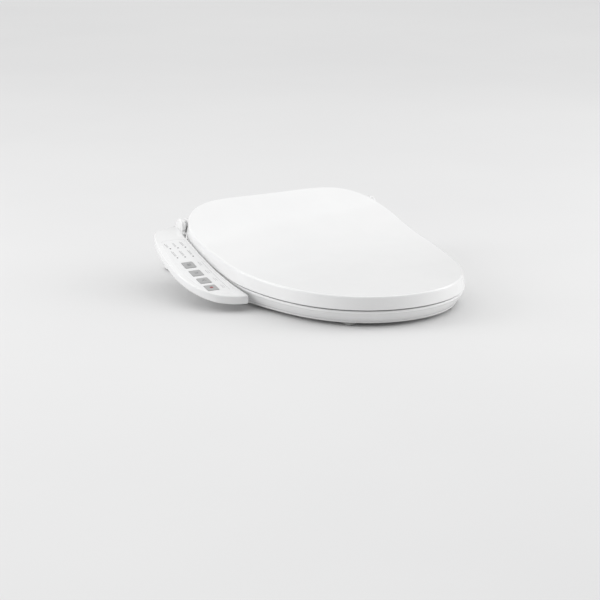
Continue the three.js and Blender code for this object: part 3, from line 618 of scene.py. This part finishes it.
# ------------------------------------------------------------------ lid
def build_lid():
    n = 288
    ts = [2 * math.pi * i / n for i in range(n)]
    base, under = [lid_point(t, -2.96) for t in ts], [lid_point(t, -5.4) for t in ts]
    rows = []
    c_top = (0.0, LID_CENTRE_V)
    for s in (0.035, 0.09, 0.17, 0.27, 0.38, 0.5, 0.61, 0.71, 0.8, 0.87, 0.925, 0.965, 0.99, 1.0):
        rows.append([(x * s, c_top[1] + (v - c_top[1]) * s, lid_top(c_top[1] + (v - c_top[1]) * s) + LID_CROWN * (1 - s * s)) for x, v in base])
    skirt_rows = []
    for i, t in enumerate(ts):
        v0 = lid_point(t, 0)[1]
        S = lid_skirt(v0)
        k = LID_FLARE / (S - 2.4)
        corner = (-k * 2.4, 0.0)
        prof = rounded([(-8.0, 0.0), corner, (LID_FLARE, -S), (LID_FLARE - 3.0, -S), (-3.5, -S + 9), (-5.4, -LID_SKIN)], [0, 3.0, 0.9, 0.6, 6.0, 0], 7)
        prof = prof[1:]
        prof[0] = (-2.96, 0.0)
        col = []
        for d, h in prof:
            x, v = lid_point(t, d)
            col.append((x, v, lid_top(v) + h))
        skirt_rows.append(col)
    m = len(skirt_rows[0])
    for j in range(1, m):
        rows.append([skirt_rows[i][j] for i in range(n)])
    for s in (0.97, 0.9, 0.8, 0.68, 0.55, 0.42, 0.3, 0.19, 0.1, 0.04):
        rows.append([(x * s, c_top[1] + (v - c_top[1]) * s, lid_top(c_top[1] + (v - c_top[1]) * s) + LID_CROWN * (1 - s * s) - LID_SKIN) for x, v in under])
    lid = loft("lid_cover", rows)
    for sgn, nm in ((-1, "a"), (1, "b")):
        x0, x1 = (150, 158) if sgn > 0 else (-158, -150)
        ear = [(HINGE_V + 8 * math.cos(a), HINGE_Z + 8 * math.sin(a)) for a in [math.radians(q) for q in range(180, 361, 10)]]
        ear = ear + [(HINGE_V + 8, HINGE_Z + 14.5), (HINGE_V - 8, HINGE_Z + 12)]
        union(lid, prism_x("ear_" + nm, ear, x0, x1, 0.8, 2))
        union(lid, rod_x("cheek_" + nm, 12.0, *((163, 176.6) if sgn > 0 else (-176.6, -163)), HINGE_V, HINGE_Z, 72, 1.4, 4))
        cut(lid, rod_x("bore_" + nm, 6.2, *((159, 195) if sgn > 0 else (-195, -159)), HINGE_V, HINGE_Z, 48),
            rod_x("pin_" + nm, BORE_R, *((145, 195) if sgn > 0 else (-195, -145)), HINGE_V, HINGE_Z, 40))
    done(lid, "lid", "white_gloss", ("lid",), 38)
    for side, x in (("left", -118), ("right", 118)):
        v = 120
        zt = lid_top(v) + LID_CROWN * 0.4 - LID_SKIN + 0.2
        z0 = seat_top(v) + 2.1
        prof = rounded([(0, z0), (4.6, z0), (6.0, z0 + 2.6), (6.0, z0 + 6), (7.6, z0 + 6.6), (7.6, zt), (0, zt)], [0, 1.6, 1.2, 0.5, 0.4, 0.2, 0], 5)
        done(lathe("lid_pad_" + side, prof, 40, lambda a, b, h, x=x, v=v: (x + a, v + b, h)), "lid", "pad_grey", ("lid_bumper_" + side,))


# ------------------------------------------------------------------ seat ring
def inner_top(v):
    k = max(0.0, min(1.0, (v - 250) / 100))
    return 23.5 + 7 * k * k * (3 - 2 * k)


def build_seat():
    n = 264
    ts = [2 * math.pi * i / n for i in range(n)]
    cols = []
    for t in ts:
        ro, ri = seat_outer(t, -3), hole_radius(t, 5)
        vo, vi = seat_at(t, ro)[1], seat_at(t, ri)[1]
        zo, zi = seat_top(vo), inner_top(vi)
        r16 = seat_outer(t, 1.6)
        zc = seat_top(seat_at(t, r16)[1])

        def wall(d):
            return seat_outer(t, d)

        def surf(k, dz):
            e = k * k * (3 - 2 * k)
            return (ro + (ri - ro) * k, zo + (zi - zo) * e + dz)

        h0, h1, h6 = hole_radius(t, 0), hole_radius(t, 1), hole_radius(t, 6)
        pts = [(wall(-8.2), 9.3), (wall(-5.6), 12.2), (wall(-3), 16.2), (wall(0.2), 16.2 + (zc - 16.2) * 0.52), (wall(1.6), zc - 4.2), (wall(1.4), zc - 0.4), surf(0.03, 0)]
        rad = [0.4, 8, 12, 16, 6, 2.6, 8]
        for k in (0.1, 0.2, 0.3, 0.42, 0.54, 0.66, 0.78, 0.88):
            pts.append(surf(k, 0)); rad.append(0)
        pts += [surf(0.97, -0.2), (h0 - 0.2, zi - 1.2), (h0, zi - 6), (h1, 9.3), (hole_radius(t, 1 + SEAT_SKIN), 9.3), (h6, zi - 5.5)]
        rad += [6, 4.5, 6, 0.5, 0.4, 3]
        for k in (0.86, 0.7, 0.54, 0.38, 0.22, 0.1):
            pts.append(surf(k, -SEAT_SKIN - (0.4 if k < 0.15 else 0))); rad.append(0)
        pts += [(wall(-5), zc - 8), (wall(-6.6), 16.6), (wall(-11.2), 9.3)]
        rad += [4, 5, 0.4]
        prof = rounded(pts, rad, 4, closed=True)
        cols.append([(*seat_at(t, r), z) for r, z in prof])
    m = len(cols[0])
    ring = loft("seat_ring", [[cols[i][j] for i in range(n)] for j in range(m)], cap=False, closed=True)

    def arm(tag, x0, x1):
        c, r = (HINGE_V, HINGE_Z), 9.0
        eye = [(c[0] + r * math.cos(math.radians(a)), c[1] + r * math.sin(math.radians(a))) for a in range(-78, 112, 8)]
        pts = [(386, 50), (395.5, 50)] + rounded([(395.5, 50), (400, 77.2), (c[0] + 1.9, 79.2)], [0, 12, 0], 6)[1:-1] + eye + [(421, 94.6), (408, 88), (394, 81), (386, 71)]
        return prism_x("seat_arm_" + tag, pts, x0, x1, 1.2, 3)

    union(ring, arm("a", -148, -138), arm("b", 138, 148), prism_x("hood", [(347, 9.7), (391.6, 9.7), (391.6, 41.7), (370.7, 41.7), (347, 27.4)], -37, 71),
          prism_x("hood_side", [(325.8, 9.6), (348, 9.6), (348, 27.2), (340, 26.5), (325.8, 25)], 67.5, 71))
    cut(ring, prism_x("way", [(320, 0), (410, 0), (410, 39), (372, 39), (346, 24.5), (320, 24.5)], -34, 68))
    cut(ring, join_objects(rod_x("pb_a", BORE_R, -150, -136, HINGE_V, HINGE_Z, 40), rod_x("pb_b", BORE_R, 136, 150, HINGE_V, HINGE_Z, 40)))
    done(ring, "seat", "white_gloss", ("seat_upper_shell",), 40)

    m2 = 240
    t2 = [2 * math.pi * i / m2 for i in range(m2)]

    def loop(f, d, z):
        return [(*seat_at(t, f(t, d)), z) for t in t2]

    pan_rows = [loop(seat_outer, -10.2, 6.0), loop(seat_outer, -9.8, 6.15), loop(seat_outer, -9.7, 6.6), loop(seat_outer, -9.7, 8.9), loop(seat_outer, -10.0, 9.0),
                loop(hole_radius, 1.1, 9.0), loop(hole_radius, 0.8, 8.7), loop(hole_radius, 0.8, 6.6), loop(hole_radius, 0.95, 6.15), loop(hole_radius, 1.3, 6.0)]
    pan = loft("seat_pan", pan_rows, cap=False, closed=True)
    cut(pan, rbox("pan_way", -37.4, 71.4, 320, 410, 0, 20))
    done(pan, "seat", "white_satin", ("seat_lower_pan",))

    for nm, x, v in (("seat_bumper_front_left", -88, 62), ("seat_bumper_front_right", 88, 62), ("seat_bumper_rear_left", -140, 320), ("seat_bumper_rear_right", 140, 320)):
        rows = []
        for d, z in ((1.9, 0.0), (0.9, 0.25), (0.25, 0.9), (0.0, 1.8), (0.0, 4.6), (0.5, 5.5), (1.2, 5.7)):
            rows.append([(a, b, z) for a, b in round_rect(x - 9 + d, x + 9 - d, v - 16 + d, v + 16 - d, 8 - d, 8)])
        pad = loft(nm + "_pad", rows)
        for q in (-8, 0, 8):  # moulded grip grooves on the sole
            cut(pad, rbox("groove", x - 5.5, x + 5.5, v + q - 0.7, v + q + 0.7, -1, 0.6))
        done(pad, "seat", "pad_grey", (nm,))


# ------------------------------------------------------------------ outline of the arm
def spline(pts, step=2.0):
    """Centripetal Catmull-Rom through the points."""
    p = [Vector(q) for q in pts]
    p = [2 * p[0] - p[1]] + p + [2 * p[-1] - p[-2]]
    out = []
    for i in range(1, len(p) - 2):
        a, b, c, d = p[i - 1:i + 3]
        t0 = 0.0
        t1 = t0 + (b - a).length ** 0.5
        t2 = t1 + (c - b).length ** 0.5
        t3 = t2 + (d - c).length ** 0.5
        k = max(2, round((c - b).length / step))
        for j in range(k):
            t = t1 + (t2 - t1) * j / k
            a1 = (t1 - t) / (t1 - t0) * a + (t - t0) / (t1 - t0) * b
            a2 = (t2 - t) / (t2 - t1) * b + (t - t1) / (t2 - t1) * c
            a3 = (t3 - t) / (t3 - t2) * c + (t - t2) / (t3 - t2) * d
            b1 = (t2 - t) / (t2 - t0) * a1 + (t - t0) / (t2 - t0) * a2
            b2 = (t3 - t) / (t3 - t1) * a2 + (t - t1) / (t3 - t1) * a3
            q = (t2 - t) / (t2 - t1) * b1 + (t - t1) / (t2 - t1) * b2
            out.append((q.x, q.y))
    out.append(tuple(pts[-1]))
    return out


def soften_corner(pts, k, dist, n=8):
    """Replaces the closed outline within dist of point k by a smooth bend."""
    m = len(pts)

    def walk(sgn):
        left, i = dist, k
        while True:
            a, b = Vector(pts[i % m]), Vector(pts[(i + sgn) % m])
            seg = (b - a).length
            if seg >= left:
                return tuple(a + (b - a) * (left / seg)), (i + sgn) % m
            left -= seg
            i += sgn

    p0, i0 = walk(-1)
    p1, i1 = walk(1)
    c = pts[k]
    bend = []
    for j in range(n + 1):
        s = j / n
        bend.append(((1 - s) ** 2 * p0[0] + 2 * s * (1 - s) * c[0] + s * s * p1[0], (1 - s) ** 2 * p0[1] + 2 * s * (1 - s) * c[1] + s * s * p1[1]))
    out, i = [], i1
    while True:
        out.append(pts[i % m])
        if i % m == i0:
            break
        i += 1
    return out + bend


def offset(pts, d):
    """Closed outline moved inwards by d (outwards if negative)."""
    m = len(pts)
    area2 = sum(pts[i][0] * pts[(i + 1) % m][1] - pts[(i + 1) % m][0] * pts[i][1] for i in range(m))
    sg = 1 if area2 > 0 else -1
    out = []
    for i, p in enumerate(pts):
        a, b = pts[i - 1], pts[(i + 1) % m]
        u, w = (p[0] - a[0], p[1] - a[1]), (b[0] - p[0], b[1] - p[1])
        lu, lw = math.hypot(*u) or 1e-9, math.hypot(*w) or 1e-9
        n1, n2 = (-u[1] / lu * sg, u[0] / lu * sg), (-w[1] / lw * sg, w[0] / lw * sg)
        k = max(1 + n1[0] * n2[0] + n1[1] * n2[1], 0.5)
        out.append((p[0] + d * (n1[0] + n2[0]) / k, p[1] + d * (n1[1] + n2[1]) / k))
    return out


def clip_x(pts, xmax):
    out = []
    m = len(pts)
    for i in range(m):
        a, b = pts[i], pts[(i + 1) % m]
        if a[0] <= xmax:
            out.append(a)
        if (a[0] <= xmax) != (b[0] <= xmax):
            s = (xmax - a[0]) / (b[0] - a[0])
            out.append((xmax, a[1] + (b[1] - a[1]) * s))
    return out


def arm_outline():
    outer, inner = spline(ARM_OUTER, 2.0), spline(ARM_INNER, 2.6)
    pts = outer + inner[:-1]
    k = min(range(len(pts)), key=lambda i: math.hypot(pts[i][0] + 184, pts[i][1] - 196))
    return soften_corner(pts, k, 6.5, 10)


ARM_LINE = arm_outline()


def film_outline(d=0.0):
    m = len(FILM)
    r = [8, 20, 14, 24, 40, 50, 40, 7, 7, 30, 40, 30]
    return offset(rounded([tuple(map(float, p)) for p in FILM], r, 6, closed=True), d) if m == len(r) else None


def lay_on_arm(ob, step=5.0):
    """Cuts a flat piece crosswise and lifts it on to the arm's sloping top."""
    bm = bmesh.new()
    bm.from_mesh(ob.data)
    vs = [v.co.y / MM + BOLT_V for v in bm.verts]
    lo, hi = min(vs), max(vs)
    v = math.ceil((lo + 0.7) / step) * step
    while v < hi - 0.7:
        bmesh.ops.bisect_plane(bm, geom=bm.verts[:] + bm.edges[:] + bm.faces[:], plane_co=(0, (v - BOLT_V) * MM, 0), plane_no=(0, 1, 0), dist=1e-7)
        v += step
    for p in bm.verts:
        p.co.z += arm_top(p.co.y / MM + BOLT_V) * MM
    bm.to_mesh(ob.data)
    bm.free()
    return ob


def on_arm(x, v):
    """Maps local (a across, b up the slope, h out) to (x, v, z) at a point of the arm's top."""
    s = (arm_top(v + 9) - arm_top(v - 9)) / 18
    al = math.atan(s)
    ca, sa = math.cos(al), math.sin(al)
    z0 = arm_top(v)
    return lambda a, b, h: (x + a, v + b * ca - h * sa, z0 + b * sa + h * ca)


# ------------------------------------------------------------------ rear body
def body_plan(d, n=10):
    return round_rect(-186 + d, 186 - d, 402 + d, 515 - d, [max(r - d, 1.5) for r in (10, 10, 24, 24)], n)


def build_cover():
    rows = [[(a, b, z) for a, b in body_plan(d)] for d, z in
            ((0.5, 25.8), (0.12, 26.0), (0.0, 26.4), (0.0, 40.6), (0.3, 42.0), (1.0, 43.1), (2.05, 43.8), (3.4, 44.0))]
    cover = loft("upper_cover", rows)
    parts = [prism_x("ridge", [(402.1, 32), (430, 32), (430, 74), (405, 74), (402.1, 71)], -176, 176, 2.2, 3)]
    for s in (-1, 1):
        a, b = sorted((s * 182, s * 188.5))
        arc = [(HINGE_V + 13 * math.cos(math.radians(q)), HINGE_Z + 13 * math.sin(math.radians(q))) for q in range(30, 199, 8)]
        pts = [(453, 33)] + rounded([(453, 33), (453, 79), arc[0]], [0, 8, 0], 5)[1:-1] + arc + rounded([arc[-1], (424, 76), (425, 33)], [0, 6, 0], 4)[1:-1] + [(425, 33)]
        tower = prism_x("tower", pts, a, b, 2.6, 4)
        parts.append(tower)
        hub = rounded([(3.6, 160), (5.8, 160), (5.8, 178.3), (8, 179.5), (10, 180.5), (12.4, 181.9), (12.4, 184), (3.6, 184)], [0.2, 0.5, 1.0, 2, 2, 0.6, 0.2, 0.2], 3, closed=True)
        parts.append(lathe("hub", hub, 48, lambda p, q, h, s=s: (s * h, HINGE_V + p, HINGE_Z + q)))
        c, d = sorted((s * 100.0, s * 135.0))
        parts.append(rod_x("barrel", 10, c, d, HINGE_V, HINGE_Z, 48, 1.2))
        parts.append(prism_x("pedestal", [(416, 66), (428.5, 66), (431, 88), (423, 90)], c + 0.6, d - 0.6, 1.0, 2))
    union(cover, *parts)

    line = ARM_LINE
    prof = [(1.6, -13.0), (0.75, -12.85), (0.2, -12.3), (0.0, -11.5), (0.0, -2.4), (0.18, -1.45), (0.7, -0.7), (1.45, -0.18), (2.4, 0.0)]
    arm = loft("arm_shell", [[(x, v, z) for x, v in offset(line, d)] for d, z in prof])
    hollow = clip_x(offset(line, 2.4), -189)
    cut(arm, prism("hollow", hollow, -20, -2.4))
    fo = film_outline()
    cut(arm, prism("recess", fo, -0.9, 4))
    lay_on_arm(arm)
    for v in BUTTON_V:
        w, l = BUTTON_W / 2 + BUTTON_GAP, BUTTON_L / 2 + BUTTON_GAP
        cut(arm, prism("window", round_rect(-w, w, -l, l, 2.0, 5), -8, 4, on_arm(BUTTON_X, v)))
    for x, v in LAMPS:
        cut(arm, prism("lamp", circle(0, 0, 1.7, 20), -8, 4, on_arm(x, v)))
    union(cover, arm)
    cut(cover, prism("belly", body_plan(3.0), 0, 41), prism_x("ridge_way", [(405, 0), (427, 0), (427, 71), (405, 71)], -170, 170))
    cut(cover, join_objects(rod_x("w1", BORE_R, -186, -90, HINGE_V, HINGE_Z, 40), rod_x("w2", BORE_R, 90, 186, HINGE_V, HINGE_Z, 40)))
    cut(cover, join_objects(rod_x("w3", 8.4, -131, -90, HINGE_V, HINGE_Z, 40), rod_x("w4", 8.4, 90, 131, HINGE_V, HINGE_Z, 40)))
    cut(cover, join_objects(rbox("port", -25, 13, 395, 408, 6, 38, 0), rbox("vent", 42, 62, 395, 408, 12, 28, 0)))
    union(cover, rbox("lug_a", -30, -25.2, 403.2, 411, 31, 43, 0.5, 2), rbox("lug_b", 13.2, 18, 403.2, 411, 31, 43, 0.5, 2))
    cut(cover, rod_x("lug_bore", 1.85, -28.2, 16.2, 405, 35, 20))
    done(cover, "housing", "white_gloss", ("body_upper_cover",), 36)

    # overlay film, let into the arm
    rows = [[(x, v, z) for x, v in film_outline(0.12 + d)] for d, z in ((0.0, -0.62), (0.0, -0.12), (0.04, -0.06), (0.12, -0.03))]
    film = loft("overlay_film", rows)
    lay_on_arm(film)
    for v in BUTTON_V:
        w, l = BUTTON_W / 2 + BUTTON_GAP, BUTTON_L / 2 + BUTTON_GAP
        cut(film, prism("window", round_rect(-w, w, -l, l, 2.0, 5), -8, 4, on_arm(BUTTON_X, v)))
    for x, v in LAMPS:
        cut(film, prism("lamp", circle(0, 0, 1.5, 20), -8, 4, on_arm(x, v)))
    done(film, "housing", "overlay_white", ("control_overlay_film",), 30)

    under = clip_x(offset(line, 2.75), -189)
    low = loft("arm_underside", [[(x, v, z) for x, v in offset(under, d)] for d, z in ((0.5, -13.0), (0.1, -12.85), (0.0, -12.5), (0.0, -11.2), (0.25, -11.0))])
    done(lay_on_arm(low), "housing", "white_satin", ("arm_lower_cover",))


def build_lower():
    rows = [[(a, b, z) for a, b in body_plan(d)] for d, z in
            ((2.2, 2.0), (1.1, 2.25), (0.4, 2.9), (0.05, 3.9), (0.0, 4.6), (0.0, 25.0), (0.12, 25.35), (0.5, 25.5))]
    tray = loft("lower_housing", rows)
    cut(tray, prism("inside", body_plan(3.0), 5, 40))
    union(tray, rbox("bridge", -109, 109, 436, 513.5, 2.1, 10))
    cut(tray, join_objects(rbox("dock", -106, 106, 439.5, 517, 0, 7.2), lathe("in_way", [(0, 505), (8.1, 505), (8.1, 520), (0, 520)], 40, lambda a, b, h: (-140 + a, h, 18 + b))))
    cut(tray, join_objects(rbox("port", -25, 13, 395, 408, 6, 38), rbox("vent", 42, 62, 395, 408, 12, 28), rbox("key_way", 180, 190, 454, 476, 9, 19),
                           lathe("cord_way", [(0, 505), (5.2, 505), (5.2, 520), (0, 520)], 32, lambda a, b, h: (150 + a, h, 16 + b))))
    spots = [(-172, 418), (172, 418), (-172, 462), (168, 494)]
    union(tray, join_objects(*[rod_z("boss", 5, 4, 25.5, x, v, 28) for x, v in spots]))
    cut(tray, join_objects(*[rod_z("bh", 2.4, 0, 40, x, v, 24) for x, v in spots]))
    # vent louvres in the rear wall
    cut(tray, join_objects(*[rbox("louvre", 30 + 6 * i, 33 + 6 * i, 509, 520, 11, 21, 0) for i in range(8)]))
    done(tray, "housing", "white_satin", ("body_lower_housing",), 36)
    for k, (x, v) in enumerate(spots):
        prof = rounded([(0, 0.5), (3.4, 0.4), (4.0, 1.2), (4.0, 1.7), (1.9, 1.7), (1.9, 37), (0.6, 38), (0, 38)], [0, 0.5, 0.3, 0.1, 0.2, 0.5, 0.2, 0], 3)
        screw = lathe("screw_%d" % (k + 1), prof, 32, lambda a, b, h, x=x, v=v: (x + a, v + b, h))
        cut(screw, rbox("s1", x - 2.2, x + 2.2, v - 0.4, v + 0.4, -1, 1.3))
        cut(screw, rbox("s2", x - 0.4, x + 0.4, v - 2.2, v + 2.2, -1, 1.3))
        done(screw, "housing", "steel", ("housing_screw_%d" % (k + 1),))
    for nm, x in (("body_foot_left", -150), ("body_foot_right", 150)):
        rows = [[(a, b, z) for a, b in round_rect(x - 12 + d, x + 12 - d, 455 - 22 + d, 455 + 22 - d, 8 - d, 8)] for d, z in ((0.8, 0.0), (0.25, 0.12), (0.0, 0.5), (0.0, 1.4), (0.3, 1.7))]
        done(loft(nm + "_pad", rows), "housing", "foot_grey", (nm,))


# ------------------------------------------------------------------ buttons, lamps, printing
def stroke(pts, w, closed=False):
    """Outline polygons of a thick line, one four-sided piece per segment."""
    quads = []
    m = len(pts)
    for i in range(m if closed else m - 1):
        a, b = pts[i], pts[(i + 1) % m]
        d = (b[0] - a[0], b[1] - a[1])
        n = math.hypot(*d) or 1e-9
        ex, ey = d[0] / n * w * 0.3, d[1] / n * w * 0.3
        nx, ny = -d[1] / n * w / 2, d[0] / n * w / 2
        quads.append([(a[0] - ex + nx, a[1] - ey + ny), (a[0] - ex - nx, a[1] - ey - ny), (b[0] + ex - nx, b[1] + ey - ny), (b[0] + ex + nx, b[1] + ey + ny)])
    return quads


def printed(name, polys, lo, hi, m):
    """One thin raised print made of several little plates."""
    verts, faces = [], []
    for pts in polys:
        k, n = len(verts), len(pts)
        verts += [m(a, b, lo) for a, b in pts] + [m(a, b, hi) for a, b in pts]
        faces += [(k + i, k + (i + 1) % n, k + n + (i + 1) % n, k + n + i) for i in range(n)]
        faces += [tuple(range(k + n - 1, k - 1, -1)), tuple(range(k + n, k + 2 * n))]
    me = bpy.data.meshes.new(name)
    me.from_pydata([to_frame(p) for p in verts], [], faces)
    bm = bmesh.new()
    bm.from_mesh(me)
    bmesh.ops.recalc_face_normals(bm, faces=bm.faces)
    bm.to_mesh(me)
    bm.free()
    ob = bpy.data.objects.new(name, me)
    scene.collection.objects.link(ob)
    return ob


def build_panel():
    for k, v in enumerate(BUTTON_V):
        m = on_arm(BUTTON_X, v)
        rows = []
        for d, h in ((0.3, -2.9), (0.0, -2.6), (0.0, 0.05), (0.12, 0.35), (0.4, 0.6), (0.85, BUTTON_PROUD)):
            rows.append([m(a, b, h) for a, b in round_rect(-BUTTON_W / 2 + d, BUTTON_W / 2 - d, -BUTTON_L / 2 + d, BUTTON_L / 2 - d, 1.7 - d * 0.5, 5)])
        cap = loft("button_cap_%d" % (k + 1), rows)
        union(cap, prism("stem", circle(0, 0, 2.2, 24), -4.4, -2.8, m))
        done(cap, "button_%d" % (k + 1), "button_grey", ("button_%d" % (k + 1),), 30)
        if k == 0:
            polys = [round_rect(-2.6, 2.6, -2.0, 2.4, 0.6, 3)]
            ink = "ink_red"
        elif k == 1:
            polys = stroke([(-3.4, -1.9), (-1.2, 0.5), (1.2, 0.5), (3.4, -1.9)], 0.8) + [circle(0, 2.6, 0.7, 12), circle(-2.0, 2.2, 0.55, 12), circle(2.0, 2.2, 0.55, 12)]
            ink = "ink_dark"
        elif k == 2:
            polys = stroke([(-3.2, 1.8), (-1.6, -1.4), (1.6, -1.4), (3.2, 1.8)], 0.8) + stroke([(0, 0.2), (0, 3.0)], 0.8)
            ink = "ink_dark"
        else:
            polys = []
            for q in (-2.4, 0.0, 2.4):
                polys += stroke([(q - 0.5, -3), (q + 0.5, -1.5), (q - 0.5, 0), (q + 0.5, 1.5), (q - 0.5, 3)], 0.75)
            ink = "ink_dark"
        icon = printed("button_icon_%d" % (k + 1), polys, BUTTON_PROUD - 0.03, BUTTON_PROUD + 0.03, m)
        done(icon, "button_%d" % (k + 1), ink, (), 30, False)

    bar = refine("indicator_light_guide", "housing", "lens", 0.3, 2)
    bar.name = "light_guide"

    def dashes(x, v0, v1, w, seq):
        out, v, i = [], v0, 0
        while v < v1 - 0.4:
            e = min(v + seq[i % len(seq)], v1)
            out.append([(x - w / 2, v), (x + w / 2, v), (x + w / 2, e), (x - w / 2, e)])
            v = e + 0.55
            i += 1
        return out

    def flat(a, b, h):
        return (a, b, h)

    marks = []
    for x, lo, hi, seq in ((-210.6, 372.5, 386, (1.7, 1.1, 2.0)), (-224.3, 372, 385, (1.2, 2.1, 1.4)), (-238.2, 373, 385, (2.0, 1.3)),
                           (-209.6, 344.5, 359, (1.4, 2.2, 1.1)), (-223.8, 345, 359.5, (1.9, 1.2, 1.5)), (-237.6, 345.5, 361, (1.1, 1.8, 2.1))):
        marks += dashes(x - 1.1, lo, hi, 1.0, seq)
        marks += dashes(x + 1.1, lo + 0.8, hi - 2.0, 0.8, seq[::-1])
    labels = printed("panel_labels", marks, -0.06, 0.0, flat)
    done(lay_on_arm(labels, 4.0), "housing", "ink_grey", (), 30, False)
    soft = []
    for v in BUTTON_V:
        soft += dashes(-210.5, v - 5.5, v + 6.0, 0.9, (1.5, 2.1, 1.1))
        soft += dashes(-207.9, v - 5.0, v + 3.5, 0.8, (1.2, 1.7))
    soft += dashes(-203.6, 226, 322, 0.6, (1.6, 0.9, 2.0, 1.2))
    faint = printed("panel_labels_soft", soft, -0.06, -0.005, flat)
    done(lay_on_arm(faint, 4.0), "housing", "ink_pale", (), 30, False)
    lens = []
    for x, v in LAMPS:
        lens.append(circle(x, v, 1.25, 20))
    tips = printed("lamp_tips", lens, -0.34, -0.02, flat)
    done(lay_on_arm(tips, 40.0), "housing", "lens", (), 30, False)


# ------------------------------------------------------------------ hinge, nozzles, fittings
def build_fittings():
    for nm, s in (("hinge_damper_left", -1), ("hinge_damper_right", 1)):
        prof = rounded([(0, 98), (8, 98), (8, 130.6), (PIN_R, 130.6), (PIN_R, 185.4), (0, 185.4)], [0, 0.8, 0.8, 0.3, 0.8, 0], 4)
        done(lathe(nm + "_body", prof, 40, lambda a, b, h, s=s: (s * h, HINGE_V + a, HINGE_Z + b)), "housing", "damper_grey", (nm,))

    sl = math.radians(12.0)
    cs, sn = math.cos(sl), math.sin(sl)

    def nozzle(x):  # local (a across, h back along the rod, b up)
        return lambda a, b, h: (x + a, 408 + h * cs - b * sn, 17 + h * sn + b * cs)

    for nm, body, x in (("nozzle_rear_wash", "rear_wash_nozzle", -14), ("nozzle_front_wash", "front_wash_nozzle", 2)):
        f = nozzle(x)
        prof = rounded([(0, 0), (3.6, 0), (4.8, 2.2), (4.8, 24), (4.5, 24.3), (4.5, 24.9), (4.8, 25.2), (4.8, 86), (0, 86)], [0, 1.6, 1.4, 0.1, 0.1, 0.1, 0.1, 0.5, 0], 4)
        rod = lathe(nm + "_rod", prof, 40, f)
        jets = [(0, 8)] if nm == "nozzle_rear_wash" else [(-1.3, 7), (1.3, 7), (0, 9.2)]
        for a0, h0 in jets:
            cut(rod, prism("jet", circle(0, 0, 1.2 if len(jets) == 1 else 0.6, 20), 3.4, 6.0, lambda a, b, c, a0=a0, h0=h0, f=f: f(a0 + a, c, h0 + b)))
        done(rod, body, "white_satin", (nm,))
    refine("nozzle_cradle", "housing", "mid_plastic", 0.3, 2)
    refine("nozzle_guard", "nozzle_guard", "white_gloss", 0.3, 2)
    refine("dryer_outlet_grille", "housing", "white_satin", 0.25, 2)
    refine("mounting_plate", "housing", "plate_white", 0.7, 3)
    for s in ("left", "right"):
        nm = "mounting_adjuster_" + s
        x = -70 if s == "left" else 70
        knob = [((15 - 0.55 * (1 + math.cos(24 * 2 * math.pi * i / 192)) / 2) * math.cos(2 * math.pi * i / 192), (15 - 0.55 * (1 + math.cos(24 * 2 * math.pi * i / 192)) / 2) * math.sin(2 * math.pi * i / 192)) for i in range(192)]
        rows = [[(x + a * k, 470 + b * k, z) for a, b in knob] for k, z in ((0.975, 3.8), (1.0, 4.1), (1.0, 6.2), (0.975, 6.5))]
        disc = loft(nm + "_disc", rows)
        cut(disc, rod_z("hole", 4.2, 0, 10, x, 470, 36))
        done(disc, "housing", "damper_grey", (nm,))
    key = rbox("release_key", 172, 189, 455, 475, 10, 18, 1.2, 3)
    union(key, rbox("stem", 168, 172.6, 458, 472, 10.5, 17.5, 0.4, 2))
    for i in range(4):
        cut(key, rbox("rib", 188.4, 190, 458.6 + 4 * i, 459.9 + 4 * i, 11.5, 16.5))
    done(key, "quick_release", "release_grey", ("quick_release_button",))

    prof = [(4, 498), (7.6, 498), (7.6, 515.4), (11.6, 515.4), (12, 515.8), (12, 518.6), (11.6, 519), (10, 519.4)]
    h = 520.0
    while h < 530.2:
        prof += [(10.0, h), (9.25, h + 0.55), (10.0, h + 1.1)]
        h += 1.35
    prof += [(9.4, 531.6), (9.0, 532), (4.2, 532), (4, 531.8)]
    done(lathe("inlet_connector", prof, 56, lambda a, b, c: (-140 + a, c, 18 + b)), "housing", "chrome", ("water_inlet_connector",), 28)
    prof = rounded([(3.4, 505), (4.8, 505), (4.8, 515.3), (8, 515.3), (8, 518), (6, 524), (3.4, 524)], [0.2, 0.2, 0.2, 0.5, 0.8, 0.8, 0.5], 3, closed=True)
    done(lathe("cord_gland", prof, 44, lambda a, b, c: (150 + a, c, 16 + b)), "housing", "pad_grey", ("power_cord_gland",))

    for node, mat, w in (("solenoid_valve", "dark_plastic", 0.8), ("instant_water_heater", "heater_grey", 1.4), ("blower_housing", "dark_plastic", 0.6),
                         ("blower_motor", "steel", 0.4), ("dryer_duct", "mid_plastic", 0.4), ("deodoriser_filter", "filter_black", 0.8),
                         ("main_board", "board_green", 0.15), ("control_board", "board_green", 0.1)):
        refine(node, "housing", mat, w, 2)
    refine("blower_impeller", "blower_wheel", "dark_plastic", 0.2, 1)
    refine("seat_heater_foil", "seat", "foil", 0.0)


build_lid()
build_seat()
build_cover()
build_lower()
build_panel()
build_fittings()
